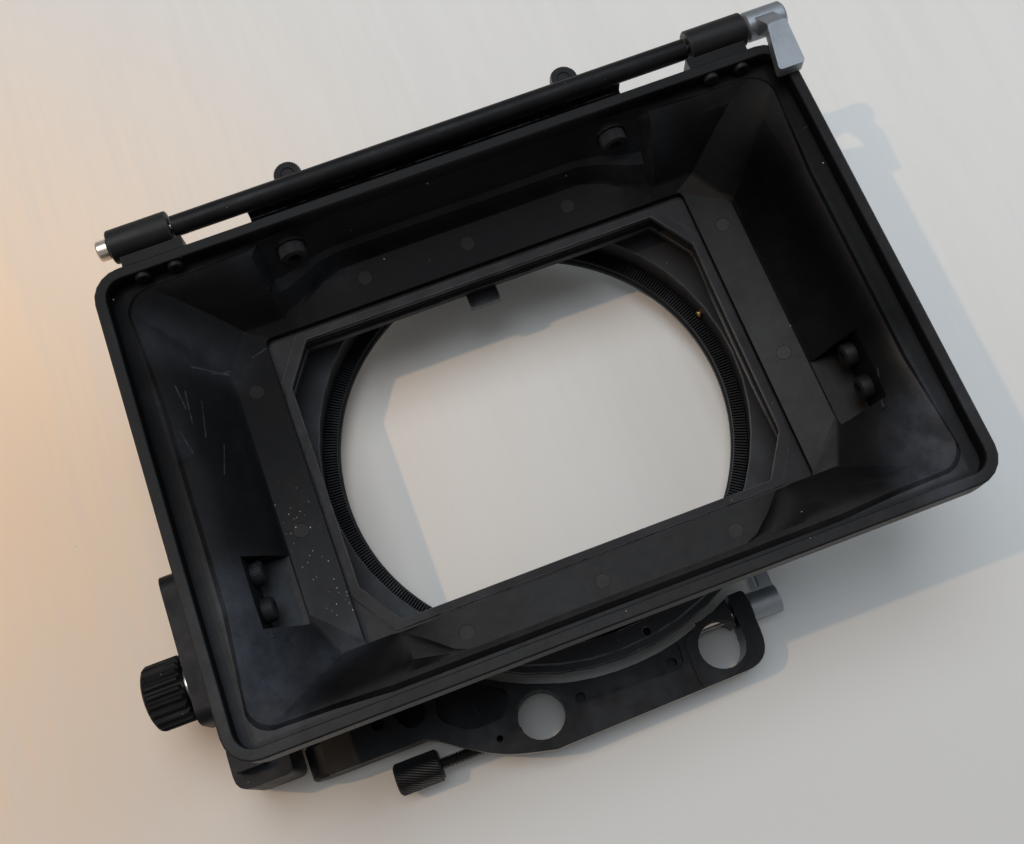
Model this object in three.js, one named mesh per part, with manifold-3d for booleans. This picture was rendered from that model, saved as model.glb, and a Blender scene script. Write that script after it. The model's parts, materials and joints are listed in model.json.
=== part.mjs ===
// Matte box for 15 mm rods, seen from the front: +X right, +Z up, lens side at +Y.
// Shapes are drawn about the optical axis. The finished group is moved so that its
// origin lies on the rod bracket's flat rear face, midway between the two rods.
import * as THREE from 'three';
import { mergeVertices } from 'three/addons/utils/BufferGeometryUtils.js';
import Module from 'manifold-3d';

const wasm = await Module();
wasm.setup();

// Clearances and broken edges, mm
const SEAT = 0.1;
const RUN = 0.4;
const PIN_FIT = 0.2;
const CUT = 1;
const WELD = 1e-4;
const EDGE = 0.4;
const CHAMFER = 0.8;

// Rods, and the walls that part them from the round housing above them
const ROD_BORE = 15;
const ROD_PITCH = 60;
const ROD_DROP = 85;
const CRADLE_WALL = 2.37;
const CRADLE_GAP = 2.4;
const CRADLE_R = Math.hypot(ROD_DROP - ROD_BORE / 2 - CRADLE_WALL, ROD_PITCH / 2);

// Aperture
const APERTURE_W = 135.2;
const APERTURE_H = 94.2;
const APERTURE_CUT_X = 8.9;
const APERTURE_CUT_Z = 13.6;

// Hood: its front rim, wider than the aperture by the flare on each side
const HOOD_FLARE_X = 43.4;
const HOOD_FLARE_Z = 27.4;
const RIM_R = 9;
const RIM_BAND = 3.4;
const RIM_DEPTH = 9;
const RIM_EDGE = 0.5;
const RIM_SOLE = 0.6;
const CHANNEL_SIDE = 5.4;
const CHANNEL_TOP = 1.7;
const CHANNEL_DEPTH = 5.8;
const RIDGE_Y = 4.7;
const RIDGE_W = 1.6;
const RIDGE_FALL = 0.7;

// Hood: sloping walls and the facet ring round the opening
const WALL = 2.4;
const FACET_Y = 28;
const FACET_SIDE = 12.4;
const FACET_RISE = 13.1;
const FACET_CORNER_CUT = 8.2;
const FACET_CORNER_RISE = 3.1;
const FACET_CORNER_LOW_RISE = 0.1;
const FACET_LOW_CORNER_CUT = 6.2;
const FACET_SIDE_DROP = 10.9;
const FACET_SIDE_LOW_DROP = 13.9;
const SWEEP_LENGTH = 22;
const SWEEP_INSET = 8.3;
const RECESS_INSET = 1;
const PAD_STEP = 2.5;
const REVEAL_X = 3.2;
const REVEAL_Z = 3.8;
const OPENING_DEPTH = 2.5;
const OPENING_R = 2;
const OPENING_LIP = 2.5;
const HOOD_CORNER_STEPS = 5;
const OPENING_W = APERTURE_W + REVEAL_X * 2;
const OPENING_H = APERTURE_H + REVEAL_Z * 2;
const OPENING_Y = FACET_Y + OPENING_DEPTH;
const HOOD_BACK = OPENING_Y + OPENING_LIP;
const FACET_X = OPENING_W / 2 + FACET_SIDE;
const FACET_Z = OPENING_H / 2 + FACET_RISE;

// Screw pockets in the hood's side walls
const POCKET_STEP = 0.4;
const POCKET_REACH = 10.4;
const POCKET_DROP = 18.5;
const POCKET_H = 21.5;
const POCKET_SKIN = 2.6;
const POCKET_INSET = 1.6;
const POCKET_SHOULDER = 13.4;
const POCKET_IN = FACET_X + POCKET_STEP;
const POCKET_OUT = POCKET_IN + POCKET_REACH;
const POCKET_FLOOR = FACET_Y - POCKET_STEP;
const SIDE_SCREW_Y = 19.5;
const SIDE_SCREW_RAISE = 1.2;
const SIDE_SCREW_PITCH = 11;
const SIDE_SCREW_D = 7.4;
const SIDE_SCREW_H = 3.8;

// Socket screws under the hood's top wall, and button screws in the rim
const TOP_SCREW_X = 52.5;
const TOP_SCREW_Y = 12;
const TOP_SCREW_D = 8.4;
const TOP_SCREW_H = 4;
const TOP_SCREW_DROP = 6.1;
const TOP_BOSS_D = 10;
const TOP_BOSS_H = 3.6;
const RIM_SCREW_INSETS = [25, 15];
const RIM_SCREW_Y = 3.1;
const RIM_SCREW_D = 4.6;
const RIM_SCREW_H = 1.5;
const SOCKET_SHARE = 0.5;
const CROWN_SHARE = 0.8;

// Front frame
const FRAME_LAP = 5.2;
const FRAME_T = 1.9;
const FRAME_R = 3;
const BEZEL_W = 2.6;
const BEZEL_T = 0.6;
const LIP_STEP = 1.2;
const LIP_T = 0.8;
const FRAME_Y = HOOD_BACK + SEAT;

// Filter stage and its trays
const GLASS_LEDGE = 3;
const GLASS_T = 4;
const TRAY_GROW = 1.4;
const TRAY_SIDE = 3;
const TRAY_FOOT = 5.5;
const TRAY_OUT = 4;
const TRAY_T = 6.6;
const TRAY_R = 2;
const TRAY_GRIP_W = 46;
const TRAY_GRIP_H = 7;
const TRAY_GRIP_T = 3;
const TRAY_GRIP_R = 2.5;
const TRAY_WALL = 1.2;
const STAGE_WALL = 0.6;
const STAGE_SIDE = 11;
const STAGE_FLOOR = 5;
const STAGE_HEAD = 10.5;
const STAGE_T = 16.9;
const STAGE_R = 6;
const GLASS_W = APERTURE_W + (TRAY_GROW + GLASS_LEDGE) * 2;
const GLASS_H = APERTURE_H + (TRAY_GROW + GLASS_LEDGE) * 2;
const TRAY_W = GLASS_W + TRAY_SIDE * 2;
const TRAY_LOW = -GLASS_H / 2 - TRAY_FOOT;
const STAGE_TOP = GLASS_H / 2 + STAGE_HEAD;
const STAGE_LOW = TRAY_LOW - STAGE_FLOOR;
const TRAY_TOP = STAGE_TOP + TRAY_OUT;
const STAGE_Y = FRAME_Y + FRAME_T + SEAT;
const STAGE_BACK = STAGE_Y + STAGE_T;
const TRAY_Y = [STAGE_Y + STAGE_WALL, STAGE_Y + STAGE_WALL + TRAY_T + TRAY_WALL];
const CLIP_W = 10.6;
const CLIP_DROP = 6.6;
const CLIP_T = 2.4;
const CLIP_RISE = 1.6;
const CLIP_TRAVEL = 4;
const CLIP_R = 1.6;

// Round rear housing and the rotating ring, measured inward from the cradle
const REAR_STEP = 2.5;
const REAR_STEP_FROM = 4.8;
const REAR_STEP_SLOPE = 1.5;
const REAR_SEAT_T = 1;
const REAR_DEPTH = 14.5;
const REAR_WALL = 5.5;
const REAR_LIP = 0.9;
const REAR_HOLE_D = 2.4;
const REAR_HOLE_X = 9;
const REAR_HOLE_OUT = 3.1;
const RING_SET = 10.6;
const RING_T = 5;
const RING_LIP_W = 0.6;
const RING_LIP_DEPTH = 0.8;
const RING_STEP_DEPTH = 2;
const RING_MOUTH = 1.4;
const RING_MOUTH_DEPTH = 3;
const RING_FLANGE = 4.4;
const RING_FLANGE_T = 2.5;
const RING_FLANGE_GAP = 0.5;
const RIB_COUNT = 72;
const RIB_H = 0.7;
const RIB_SHARE = 0.5;
const LOCK_ANGLE = 16.5;
const LOCK_SET = 8.2;
const LOCK_TIP_D = 2.6;
const LOCK_TIP_OUT = 1.2;
const LOCK_HEAD_GAP = 0.7;
const LOCK_HEAD_L = 8.8;
const LOCK_HEAD_D = 10;
const LOCK_KNURLS = 18;
const KNURL_DEPTH = 0.5;
const REAR_R = CRADLE_R - CRADLE_GAP;
const REAR_STEP_R = REAR_R - REAR_STEP;
const REAR_BORE_R = REAR_STEP_R - REAR_WALL;
const REAR_STEP_Y = STAGE_BACK + REAR_STEP_FROM;
const REAR_BACK = STAGE_BACK + REAR_DEPTH;
const RING_R = REAR_BORE_R - RUN;
const RING_HOLE_R = RING_R - RING_T;
const RING_LIP_R = RING_HOLE_R + RING_LIP_W;
const RING_BAND_R = RING_LIP_R + RING_LIP_W;
const RING_FRONT = STAGE_BACK + RING_SET;
const RING_FLANGE_Y = REAR_BACK + RING_FLANGE_GAP;
const RING_BACK = RING_FLANGE_Y + RING_FLANGE_T;
const LOCK_Y = STAGE_BACK + LOCK_SET;

// Rod bracket, measured from the rods
const BRACKET_SET = 7;
const BRACKET_T = 13;
const BOSS_T = 1;
const ARM_RISE = 5.7;
const ARM_CREST = 25;
const ARM_REACH = 56;
const ARM_SLOPE = 3;
const BASE_DROP = 11.3;
const BASE_RIGHT_DROP = 10;
const BASE_INSET = 1;
const BASE_RUN = 4;
const RIGHT_RUN = 13;
const RIGHT_RISE = 13.5;
const RIGHT_R = 2;
const CLAMP_SLOT_RUN = 6.4;
const CLAMP_SLOT_W = 1.2;
const WEB_DEPTH = 2.4;
const POCKET_DEPTH = 9;
const POCKET_R = 3;
const HOLE_DEPTH = 6;
const WEB_HOLE_D = 3.2;
const SMALL_HOLE_D = 2.2;
const ARM_HOLE_D = 4;
// Outlines as shares of the rod bore, measured from the left or the right rod
const undersideShares = [[-0.8, -0.53], [-1.47, -0.21], [-2.2, 0.29]];
const undersideEndShare = -2.4;
const webLeftShares = [[0.47, 1.2], [0.47, 0.59], [0.58, 0.35], [0.6, 0.19], [0.65, 0.04], [0.78, -0.07],
  [0.94, -0.08]];
const webRightShares = [[-1.13, -0.16], [-0.96, -0.14], [-0.87, -0.03], [-0.84, 0.2], [-0.8, 1.2]];
const largePocketShares = [[-1.53, 1.37], [-0.43, 0.69], [-0.69, 0.2], [-1.47, 0.2], [-2.01, 0.63],
  [-1.91, 1.27]];
const smallPocketShares = [[-2.93, 1.4], [-2.2, 1.4], [-2.16, 0.8], [-2.53, 0.6], [-2.8, 0.87]];
const rightBossShares = [[-0.73, 0.33], [-0.27, 0.6], [0.413, 0.773], [0.413, -0.53], [0, -0.63],
  [-0.73, -0.69]];
const webHoleLeftShare = [0.89, 0.05];
const webHoleRightShare = [-1.09, 0.04];
const smallHoleShare = [-0.95, -0.15];
const armHoleShare = [-3.2, 1];
const BRACKET_Y = STAGE_BACK + BRACKET_SET;
const BRACKET_BACK = BRACKET_Y + BRACKET_T;
const BOSS_Y = BRACKET_Y - BOSS_T;
const middleY = (BRACKET_Y + BRACKET_BACK) / 2;
const rodX = ROD_PITCH / 2;
const armLow = ARM_RISE - ROD_DROP;
const armTop = ARM_CREST - ROD_DROP;
const clampSlotX = rodX + CLAMP_SLOT_RUN;

// Swing hinge at the bracket's left end
const HINGE_SET = 10.5;
const KNUCKLE_R = 6;
const KNUCKLE_H = 10.7;
const PIN_D = 5;
const PIN_SUNK = 2;
const PIN_HEAD_D = 8.5;
const PIN_HEAD_H = 1.6;
const LUG_T = 9;
const HINGE_WASHER_T = 0.8;
const HINGE_WASHER_LAP = 0.4;
const hingeX = -rodX - ARM_REACH - HINGE_SET;
const knuckleTop = armLow + KNUCKLE_H;
const lugLow = knuckleTop + HINGE_WASHER_T + SEAT * 2;
const pinTop = lugLow + LUG_T + RUN;

// Swing arm
const BAR_OUT = 13.8;
const BAR_T = 9;
const BAR_LIFT = 34;
const BAR_DEPTH = 16;
const BAR_R = 5;
const WAIST_DROP = 13;
const WAIST_IN = 5.4;
const WAIST_T = 8;
const FOOT_OUT = 11;
const FOOT_GAP = 1.9;
const FOOT_RISE = 3.8;
const FOOT_H = 10.5;
const FOOT_SLOPE = 4;
const FOOT_R = 5;
const FOOT_FRONT = 10;
const FOOT_SET = 0.5;
const GUIDE_W = 10;
const GUIDE_DEPTH = 3;
const GUIDE_SPARE = 4;
const STUD_D = 5;
const KNOB_Y = 46;
const KNOB_RISE = 44;
const KNOB_R = 10.2;
const KNOB_GROOVE = 1.2;
const KNOB_T = 12.2;
const KNOB_FLUTES = 22;
const KNOB_CHAMFER = 0.9;
const KNOB_WASHER_D = 13;
const KNOB_WASHER_T = 1;
const HEIGHT_TRAVEL = 8;

// Side plate between hood and arm
const PLATE_T = 4;
const PLATE_FRONT = 12.5;
const PLATE_REAR = 53;
const PLATE_RISE = 28;
const PLATE_FALL = 11;
const PLATE_R = 4;
const KEY_RISE = 7;
const KEY_FALL = 7;

// Rod clamp lever and rod screw
const LEVER_STEP = 0.2;
const LEVER_HUB_L = 10.4;
const LEVER_RISE = 8;
const LEVER_HUB_R = 4.7;
const LEVER_ARM_L = 11.8;
const LEVER_ARM_W = 7.4;
const LEVER_ARM_T = 5;
const LEVER_ARM_R = 2;
const LEVER_SLOT_W = 1.1;
const LEVER_SLOT_IN = 1.7;
const BOLT_D = 4;
const BOLT_L = 17.85;
const ROD_SCREW_DROP = 2.6;
const ROD_SCREW_HEAD_OUT = 34;
const ROD_SCREW_HEAD_L = 14.4;
const ROD_SCREW_HEAD_D = 10;
const ROD_SCREW_D = 3.8;
const ROD_SCREW_GAP = 5;
const TIP_D = 3.6;
const TIP_OUT = 0.6;

// Flag holder on top of the rim
const TUBE_RISE = 10.5;
const TUBE_Y = 6;
const TUBE_D = 6.6;
const TUBE_BORE = 3.8;
const BLOCK_INSET = 26.8;
const BLOCK_L = 19;
const BLOCK_D = 10.6;
const BLOCK_FOOT_FRONT = 1.6;
const BLOCK_FOOT_BACK = 4.6;
const BLOCK_FOOT_OUT = 2.2;
const BLOCK_FOOT_INSET = 2;
const BLOCK_FOOT_H = 6;
const FLAG_PIN_D = 6.4;
const FLAG_PIN_L = 3.6;
const FLAG_ROD_D = 3.4;
const FLAG_PLATE_HALF = 61.5;
const FLAG_PLATE_SET = 4.3;
const FLAG_PLATE_T = 2.6;
const FLAG_PLATE_DROP = 5.2;
const FLAG_PLATE_RISE = 6.6;
const FLAG_WEB_HALF = 1.8;
const FLAG_SCREW_IN = 15.5;
const FLAG_SCREW_RISE = 7.2;
const FLAG_SCREW_D = 8.8;
const FLAG_SCREW_T = 2.8;
const FLAG_SCREW_SHANK_D = 3.4;
const FLAG_SCREW_SHANK_L = 5.8;
const FLAG_KNURL_DEPTH = 0.35;
const FLAG_TAB_R = 3.6;
const FLAG_KNURLS = 24;
const LEVER_BARREL_L = 13.4;
const LEVER_BARREL_D = 9.4;
const PADDLE_TOP_IN = 3;
const PADDLE_TOP_W = 6.2;
const PADDLE_LOW_SHIFT = 2.8;
const PADDLE_LOW_W = 8.2;
const PADDLE_DROP = 23.6;
const PADDLE_SET = 10.4;
const PADDLE_T = 4.2;
const PADDLE_R = 1.4;
const NECK_DROP = 9;
const BREAK_RISE = 1.6;

const SIDES = 24;
const SCREW_SIDES = 12;
const FINE_SIDES = 48;
const CURVE_STEPS = 4;
const BRACKET_CURVE_STEPS = 7;
const FLUTE_SHARE = 0.28;
const FACET_TURN_SHARE = 0.9;

const material = (color, roughness, metalness) =>
  new THREE.MeshStandardMaterial({ color, roughness, metalness });
const finish = {
  moulded: material('#2c2e31', 0.78, 0),
  frame: material('#2e3136', 0.6, 0.1),
  housing: material('#1b1c1f', 0.6, 0.1),
  anodised: material('#1d1f22', 0.5, 0.6),
  blackScrew: material('#222326', 0.45, 0.7),
  knob: material('#101113', 0.25, 0),
  satin: material('#b4bac2', 0.38, 0.9),
  steel: material('#c3c4c6', 0.3, 1),
  brass: material('#b08a45', 0.3, 1),
};

const object = new THREE.Group();
object.name = 'matte_box';

const volumeOf = (position, index) => {
  const a = new THREE.Vector3();
  const b = new THREE.Vector3();
  const c = new THREE.Vector3();
  let sum = 0;
  for (let i = 0; i < index.length; i += 3) {
    a.fromBufferAttribute(position, index[i]);
    b.fromBufferAttribute(position, index[i + 1]);
    c.fromBufferAttribute(position, index[i + 2]);
    sum += a.dot(b.cross(c));
  }
  return sum;
};

// A closed body from a geometry, with its faces turned outward.
const solid = (geometry) => {
  const plain = geometry.clone();
  plain.deleteAttribute('normal');
  plain.deleteAttribute('uv');
  const welded = mergeVertices(plain, WELD);
  const position = welded.attributes.position;
  const kept = [];
  for (let i = 0; i < welded.index.count; i += 3) {
    const corners = [welded.index.getX(i), welded.index.getX(i + 1), welded.index.getX(i + 2)];
    if (new Set(corners).size === corners.length) kept.push(corners);
  }
  const inward = volumeOf(position, kept.flat()) < 0;
  const turned = inward ? kept.map(([a, b, c]) => [a, c, b]) : kept;
  return new wasm.Manifold(new wasm.Mesh({
    numProp: 3,
    vertProperties: Float32Array.from(position.array),
    triVerts: Uint32Array.from(turned.flat()),
  }));
};

const add = (name, body, look) => {
  const placed = body.translate([0, -BRACKET_BACK, ROD_DROP]).getMesh();
  const geometry = new THREE.BufferGeometry();
  geometry.setAttribute('position', new THREE.BufferAttribute(Float32Array.from(placed.vertProperties), 3));
  geometry.setIndex(new THREE.BufferAttribute(Uint32Array.from(placed.triVerts), 1));
  geometry.computeVertexNormals();
  const mesh = new THREE.Mesh(geometry, look);
  mesh.name = name;
  object.add(mesh);
};

const joined = (...bodies) => bodies.reduce((whole, body) => whole.add(body));
const without = (body, ...cuts) => cuts.reduce((rest, cut) => rest.subtract(cut), body);
const mirrored = (body) => body.mirror([1, 0, 0]);

const extruded = (shape, length, curveSegments) =>
  new THREE.ExtrudeGeometry(shape, { depth: length, bevelEnabled: false, curveSegments });
// Drawn in x and z, running from y0 back to y1.
const alongY = (shape, y0, y1, curves = CURVE_STEPS) =>
  solid(extruded(shape, y1 - y0, curves).rotateX(Math.PI / 2).translate(0, y1, 0));
// Drawn in y and z, running from x0 to x1.
const alongX = (shape, x0, x1, curves = CURVE_STEPS) =>
  solid(extruded(shape, x1 - x0, curves).rotateX(Math.PI / 2).rotateZ(Math.PI / 2).translate(x0, 0, 0));
// Drawn in x and y, running from z0 up to z1.
const alongZ = (shape, z0, z1, curves = CURVE_STEPS) =>
  solid(extruded(shape, z1 - z0, curves).translate(0, 0, z0));
const box = (x0, x1, y0, y1, z0, z1) =>
  solid(new THREE.BoxGeometry(x1 - x0, y1 - y0, z1 - z0)
    .translate((x0 + x1) / 2, (y0 + y1) / 2, (z0 + z1) / 2));

const lathe = (profile, sides) =>
  new THREE.LatheGeometry(profile.map(([r, h]) => new THREE.Vector2(r, h)), sides);
const turnedY = (profile, x, z, sides = SIDES) => solid(lathe(profile, sides).translate(x, 0, z));
const turnedX = (profile, y, z, sides = SIDES) =>
  solid(lathe(profile, sides).rotateZ(-Math.PI / 2).translate(0, y, z));
const turnedZ = (profile, x, y, sides = SIDES) =>
  solid(lathe(profile, sides).rotateX(Math.PI / 2).translate(x, y, 0));
const rodProfile = (r, a, b, edge = 0) => (edge
  ? [[0, a], [r - edge, a], [r, a + edge], [r, b - edge], [r - edge, b], [0, b]]
  : [[0, a], [r, a], [r, b], [0, b]]);
// A head whose open end is at b, with a rounded crown and a socket in it.
const headProfile = (r, a, b) => {
  const out = Math.sign(b - a);
  const crown = r * (1 - CROWN_SHARE);
  const socket = r * SOCKET_SHARE;
  const depth = Math.abs(b - a) * SOCKET_SHARE;
  return [[0, a], [r, a], [r, b - out * crown], [r - crown, b], [socket, b], [socket, b - out * depth],
    [0, b - out * depth]];
};

const polygon = (points) => new THREE.Shape(points.map(([u, v]) => new THREE.Vector2(u, v)));
// A closed outline whose corners are rounded with one radius, or one for each corner.
const rounded = (points, radius) => {
  const shape = new THREE.Shape();
  const count = points.length;
  points.forEach(([u, v], i) => {
    const corner = new THREE.Vector2(u, v);
    const before = new THREE.Vector2(...points[(i + count - 1) % count]).sub(corner);
    const after = new THREE.Vector2(...points[(i + 1) % count]).sub(corner);
    const r = Array.isArray(radius) ? radius[i] : radius;
    const from = before.setLength(Math.min(r, before.length() / 2)).add(corner);
    const to = after.setLength(Math.min(r, after.length() / 2)).add(corner);
    if (i === 0) shape.moveTo(from.x, from.y);
    else shape.lineTo(from.x, from.y);
    shape.quadraticCurveTo(corner.x, corner.y, to.x, to.y);
  });
  shape.closePath();
  return shape;
};
const rectangle = (x0, x1, z0, z1, r) => rounded([[x0, z0], [x1, z0], [x1, z1], [x0, z1]], r);
const octagon = (halfW, halfH, cutX, cutZ) => polygon([
  [-halfW + cutX, -halfH], [halfW - cutX, -halfH], [halfW, -halfH + cutZ], [halfW, halfH - cutZ],
  [halfW - cutX, halfH], [-halfW + cutX, halfH], [-halfW, halfH - cutZ], [-halfW, -halfH + cutZ]]);
// A wheel outline with even grooves, each with a flat floor.
const fluted = (outer, inner, count) => polygon(Array.from({ length: count * 4 }, (_, i) => {
  const r = i % 4 < 2 ? outer : inner;
  const turn = (Math.floor(i / 2) + (i % 2 ? FLUTE_SHARE : -FLUTE_SHARE)) * Math.PI / count;
  return [r * Math.cos(turn), r * Math.sin(turn)];
}));
// A wheel outline with pointed teeth.
const knurled = (outer, inner, count) => polygon(Array.from({ length: count * 2 }, (_, i) => {
  const r = i % 2 ? inner : outer;
  const turn = i * Math.PI / count;
  return [r * Math.cos(turn), r * Math.sin(turn)];
}));
const lerp = (a, b, share) => a + (b - a) * share;
const smooth = (share) => share * share * (3 - 2 * share);
const opened = (grow) => octagon(APERTURE_W / 2 + grow, APERTURE_H / 2 + grow,
  APERTURE_CUT_X, APERTURE_CUT_Z);

// Hood
// Each column runs from the rim's inner edge to the opening. Columns go round the right half
// from the top centre to the bottom centre, and the left half mirrors them.
const halfW = APERTURE_W / 2 + HOOD_FLARE_X;
const halfH = APERTURE_H / 2 + HOOD_FLARE_Z;
const sweepTo = OPENING_W / 2 - SWEEP_INSET;
const sweepFrom = sweepTo - SWEEP_LENGTH;
const recessTo = sweepTo - RECESS_INSET;
const padFrom = sweepTo + PAD_STEP;
const cornerX = FACET_X - FACET_CORNER_CUT;
const sideTop = OPENING_H / 2 - FACET_SIDE_DROP;
const sideLow = FACET_SIDE_LOW_DROP - OPENING_H / 2;
const cornerTop = OPENING_H / 2 + FACET_CORNER_RISE;
const cornerLow = -OPENING_H / 2 - FACET_CORNER_LOW_RISE;
const pocketTop = -POCKET_DROP;
const pocketLow = pocketTop - POCKET_H;
const arc = (cx, cz, r, from, to) => Array.from({ length: HOOD_CORNER_STEPS + 1 }, (_, i) => {
  const turn = lerp(from, to, i / HOOD_CORNER_STEPS) * Math.PI / 180;
  return [cx + r * Math.cos(turn), cz + r * Math.sin(turn)];
});
const spread = (from, to, shares) => shares.map((share) => lerp(from, to, share));
const sweepShares = [0.3, 0.55, 0.8];
const sideShares = [0.12, 0.4, 0.68, 0.94];
const topStations = [0, sweepFrom / 2, sweepFrom, ...spread(sweepFrom, recessTo, sweepShares), recessTo,
  padFrom, (padFrom + halfW - RIM_R) / 2];
const sideStations = spread(sideTop, sideLow, sideShares);
const rimLoop = (inset) => {
  const w = halfW - inset;
  const h = halfH - inset;
  const r = Math.max(RIM_R - inset, RIM_R / 2);
  return [
    ...topStations.map((x) => [x, h]),
    ...arc(w - r, h - r, r, 90, 0),
    ...sideStations.map((z) => [w, z]),
    ...arc(w - r, r - h, r, 0, -90),
    ...[...topStations].reverse().map((x) => [x, -h]),
  ];
};
const sweep = (x, middle, corner) => {
  const share = Math.min(Math.max((x - sweepFrom) / (sweepTo - sweepFrom), 0), 1);
  return lerp(middle, corner, smooth(share));
};
const along = (from, to) => Array.from({ length: HOOD_CORNER_STEPS + 1 }, (_, i) =>
  [lerp(from[0], to[0], i / HOOD_CORNER_STEPS), lerp(from[1], to[1], i / HOOD_CORNER_STEPS)]);
const facetStations = [0, sweepFrom / 2, sweepFrom, ...spread(sweepFrom, sweepTo, sweepShares),
  lerp(sweepFrom, sweepTo, FACET_TURN_SHARE), sweepTo, (sweepTo + cornerX) / 2];
const facetLoop = [
  ...facetStations.map((x) => [x, sweep(x, FACET_Z, cornerTop)]),
  ...along([cornerX, cornerTop], [FACET_X, sideTop]),
  ...sideStations.map((z) => [FACET_X, z]),
  ...along([FACET_X, sideLow], [FACET_X - FACET_LOW_CORNER_CUT, cornerLow]),
  ...[...facetStations].reverse().map((x) => [x, sweep(x, -FACET_Z, cornerLow)]),
];
const openingX = (x) => Math.min(x, OPENING_W / 2 - OPENING_R - EDGE);
const openingLoop = [
  ...facetStations.map((x) => [openingX(x), OPENING_H / 2]),
  ...arc(OPENING_W / 2 - OPENING_R, OPENING_H / 2 - OPENING_R, OPENING_R, 90, 0),
  ...sideStations.map((z) => [OPENING_W / 2, z]),
  ...arc(OPENING_W / 2 - OPENING_R, OPENING_R - OPENING_H / 2, OPENING_R, 0, -90),
  ...[...facetStations].reverse().map((x) => [openingX(x), -OPENING_H / 2]),
];
// Only the top wall steps back in a recess. The other walls slope all the way.
const isRecess = (i) => i <= topStations.indexOf(recessTo);
const channelWidth = (x, z) => {
  const onSide = Math.abs(z) < halfH - RIM_BAND - RIM_R / 2;
  const share = Math.max((x - padFrom) / (halfW - RIM_R - padFrom), 0);
  return onSide ? CHANNEL_SIDE : lerp(CHANNEL_TOP, CHANNEL_SIDE, Math.min(share, 1));
};
// Distance inward from the rim's inner edge and depth, for one column, as shares of the
// reach from the rim to the facet ring and of the fall from the channel to it.
const recessShares = [[0.02, 0], [0.05, 0.03], [0.14, 0.14], [0.46, 0.59], [0.68, 0.66], [0.9, 0.94]];
const slopeShares = [[0.24, 0.13], [0.64, 0.55], [0.94, 0.95]];
const recessSteps = (reach) => recessShares.map(([across, down]) =>
  [reach * across, lerp(CHANNEL_DEPTH, FACET_Y, down)]);
const slopeSteps = (reach, channel) => {
  const ridge = channel + RIDGE_W * 2;
  const foot = RIDGE_Y + RIDGE_FALL;
  return [[channel, CHANNEL_DEPTH], [channel + RIDGE_W, RIDGE_Y], [ridge, foot],
    ...slopeShares.map(([across, down]) => [lerp(ridge, reach, across), lerp(foot, FACET_Y, down)])];
};
const offsetBack = (steps, i, distance) => {
  const a = steps[Math.max(i - 1, 0)];
  const b = steps[Math.min(i + 1, steps.length - 1)];
  const run = new THREE.Vector2(b[0] - a[0], b[1] - a[1]).normalize();
  return [steps[i][0] - run.y * distance, steps[i][1] + run.x * distance];
};
const hoodColumns = () => {
  const rim = rimLoop(RIM_BAND);
  return rim.map(([x, z], i) => {
    const edge = new THREE.Vector2(x, z);
    const facet = new THREE.Vector2(...facetLoop[i]);
    const opening = openingLoop[i];
    const inward = facet.clone().sub(edge);
    const reach = inward.length();
    inward.normalize();
    const steps = isRecess(i) ? recessSteps(reach) : slopeSteps(reach, channelWidth(x, z));
    const inner = [[0, RIM_EDGE / 2], [0, CHANNEL_DEPTH], ...steps, [reach, FACET_Y]];
    const at = ([distance, y]) => [edge.x + inward.x * distance, y, edge.y + inward.y * distance];
    const tail = steps.slice(-4);
    const skin = tail.map((_, k) => offsetBack([...tail, [reach, FACET_Y]], k, WALL)).reverse();
    const outline = rimLoop(0)[i];
    const outlineEdge = rimLoop(RIM_EDGE)[i];
    const backEdge = rimLoop(WALL)[i];
    const frontEdge = rimLoop(RIM_BAND - RIM_EDGE / 2)[i];
    return [
      [frontEdge[0], 0, frontEdge[1]],
      ...inner.map(at),
      [opening[0], OPENING_Y, opening[1]],
      [opening[0], HOOD_BACK, opening[1]],
      at([reach - WALL / 2, HOOD_BACK]),
      ...skin.map(([d, y]) => at([d, Math.max(y, RIM_DEPTH + RIM_SOLE)])),
      [backEdge[0], RIM_DEPTH + RIM_SOLE / 2, backEdge[1]],
      [outline[0], RIM_DEPTH, outline[1]],
      [outline[0], RIM_EDGE, outline[1]],
      [outlineEdge[0], 0, outlineEdge[1]],
    ];
  });
};
const hoodLoft = () => {
  const right = hoodColumns();
  const left = right.slice(1, -1).reverse().map((column) => column.map(([x, y, z]) => [-x, y, z]));
  const columns = [...right, ...left];
  const rows = columns[0].length;
  const index = [];
  columns.forEach((_, i) => {
    const next = (i + 1) % columns.length;
    for (let j = 0; j < rows; j += 1) {
      const k = (j + 1) % rows;
      index.push(i * rows + j, i * rows + k, next * rows + j);
      index.push(i * rows + k, next * rows + k, next * rows + j);
    }
  });
  const geometry = new THREE.BufferGeometry();
  geometry.setAttribute('position', new THREE.Float32BufferAttribute(columns.flat(2), 3));
  geometry.setIndex(index);
  return solid(geometry);
};
const pocketSkin = alongZ(polygon([[POCKET_OUT + POCKET_SKIN, RIM_DEPTH + RIM_SOLE * 2],
  [POCKET_OUT + POCKET_SKIN, POCKET_FLOOR + POCKET_SKIN],
  [FACET_X + POCKET_INSET, POCKET_FLOOR + POCKET_SKIN],
  [FACET_X + POCKET_INSET, FACET_Y + POCKET_STEP], [POCKET_OUT - POCKET_INSET, POCKET_SHOULDER]]),
pocketLow - POCKET_SKIN, pocketTop + POCKET_SKIN);
const pocketCut = box(POCKET_IN, POCKET_OUT, CHANNEL_DEPTH, POCKET_FLOOR, pocketLow, pocketTop);
const topSeat = halfH - TOP_SCREW_DROP;
const topBoss = turnedZ(rodProfile(TOP_BOSS_D / 2, topSeat, topSeat + TOP_BOSS_H), TOP_SCREW_X, TOP_SCREW_Y,
  SCREW_SIDES);
const topRoom = turnedZ(rodProfile(TOP_SCREW_D / 2 + RUN, topSeat - TOP_SCREW_H * 2, topSeat), TOP_SCREW_X,
  TOP_SCREW_Y, SCREW_SIDES * 2);
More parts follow.
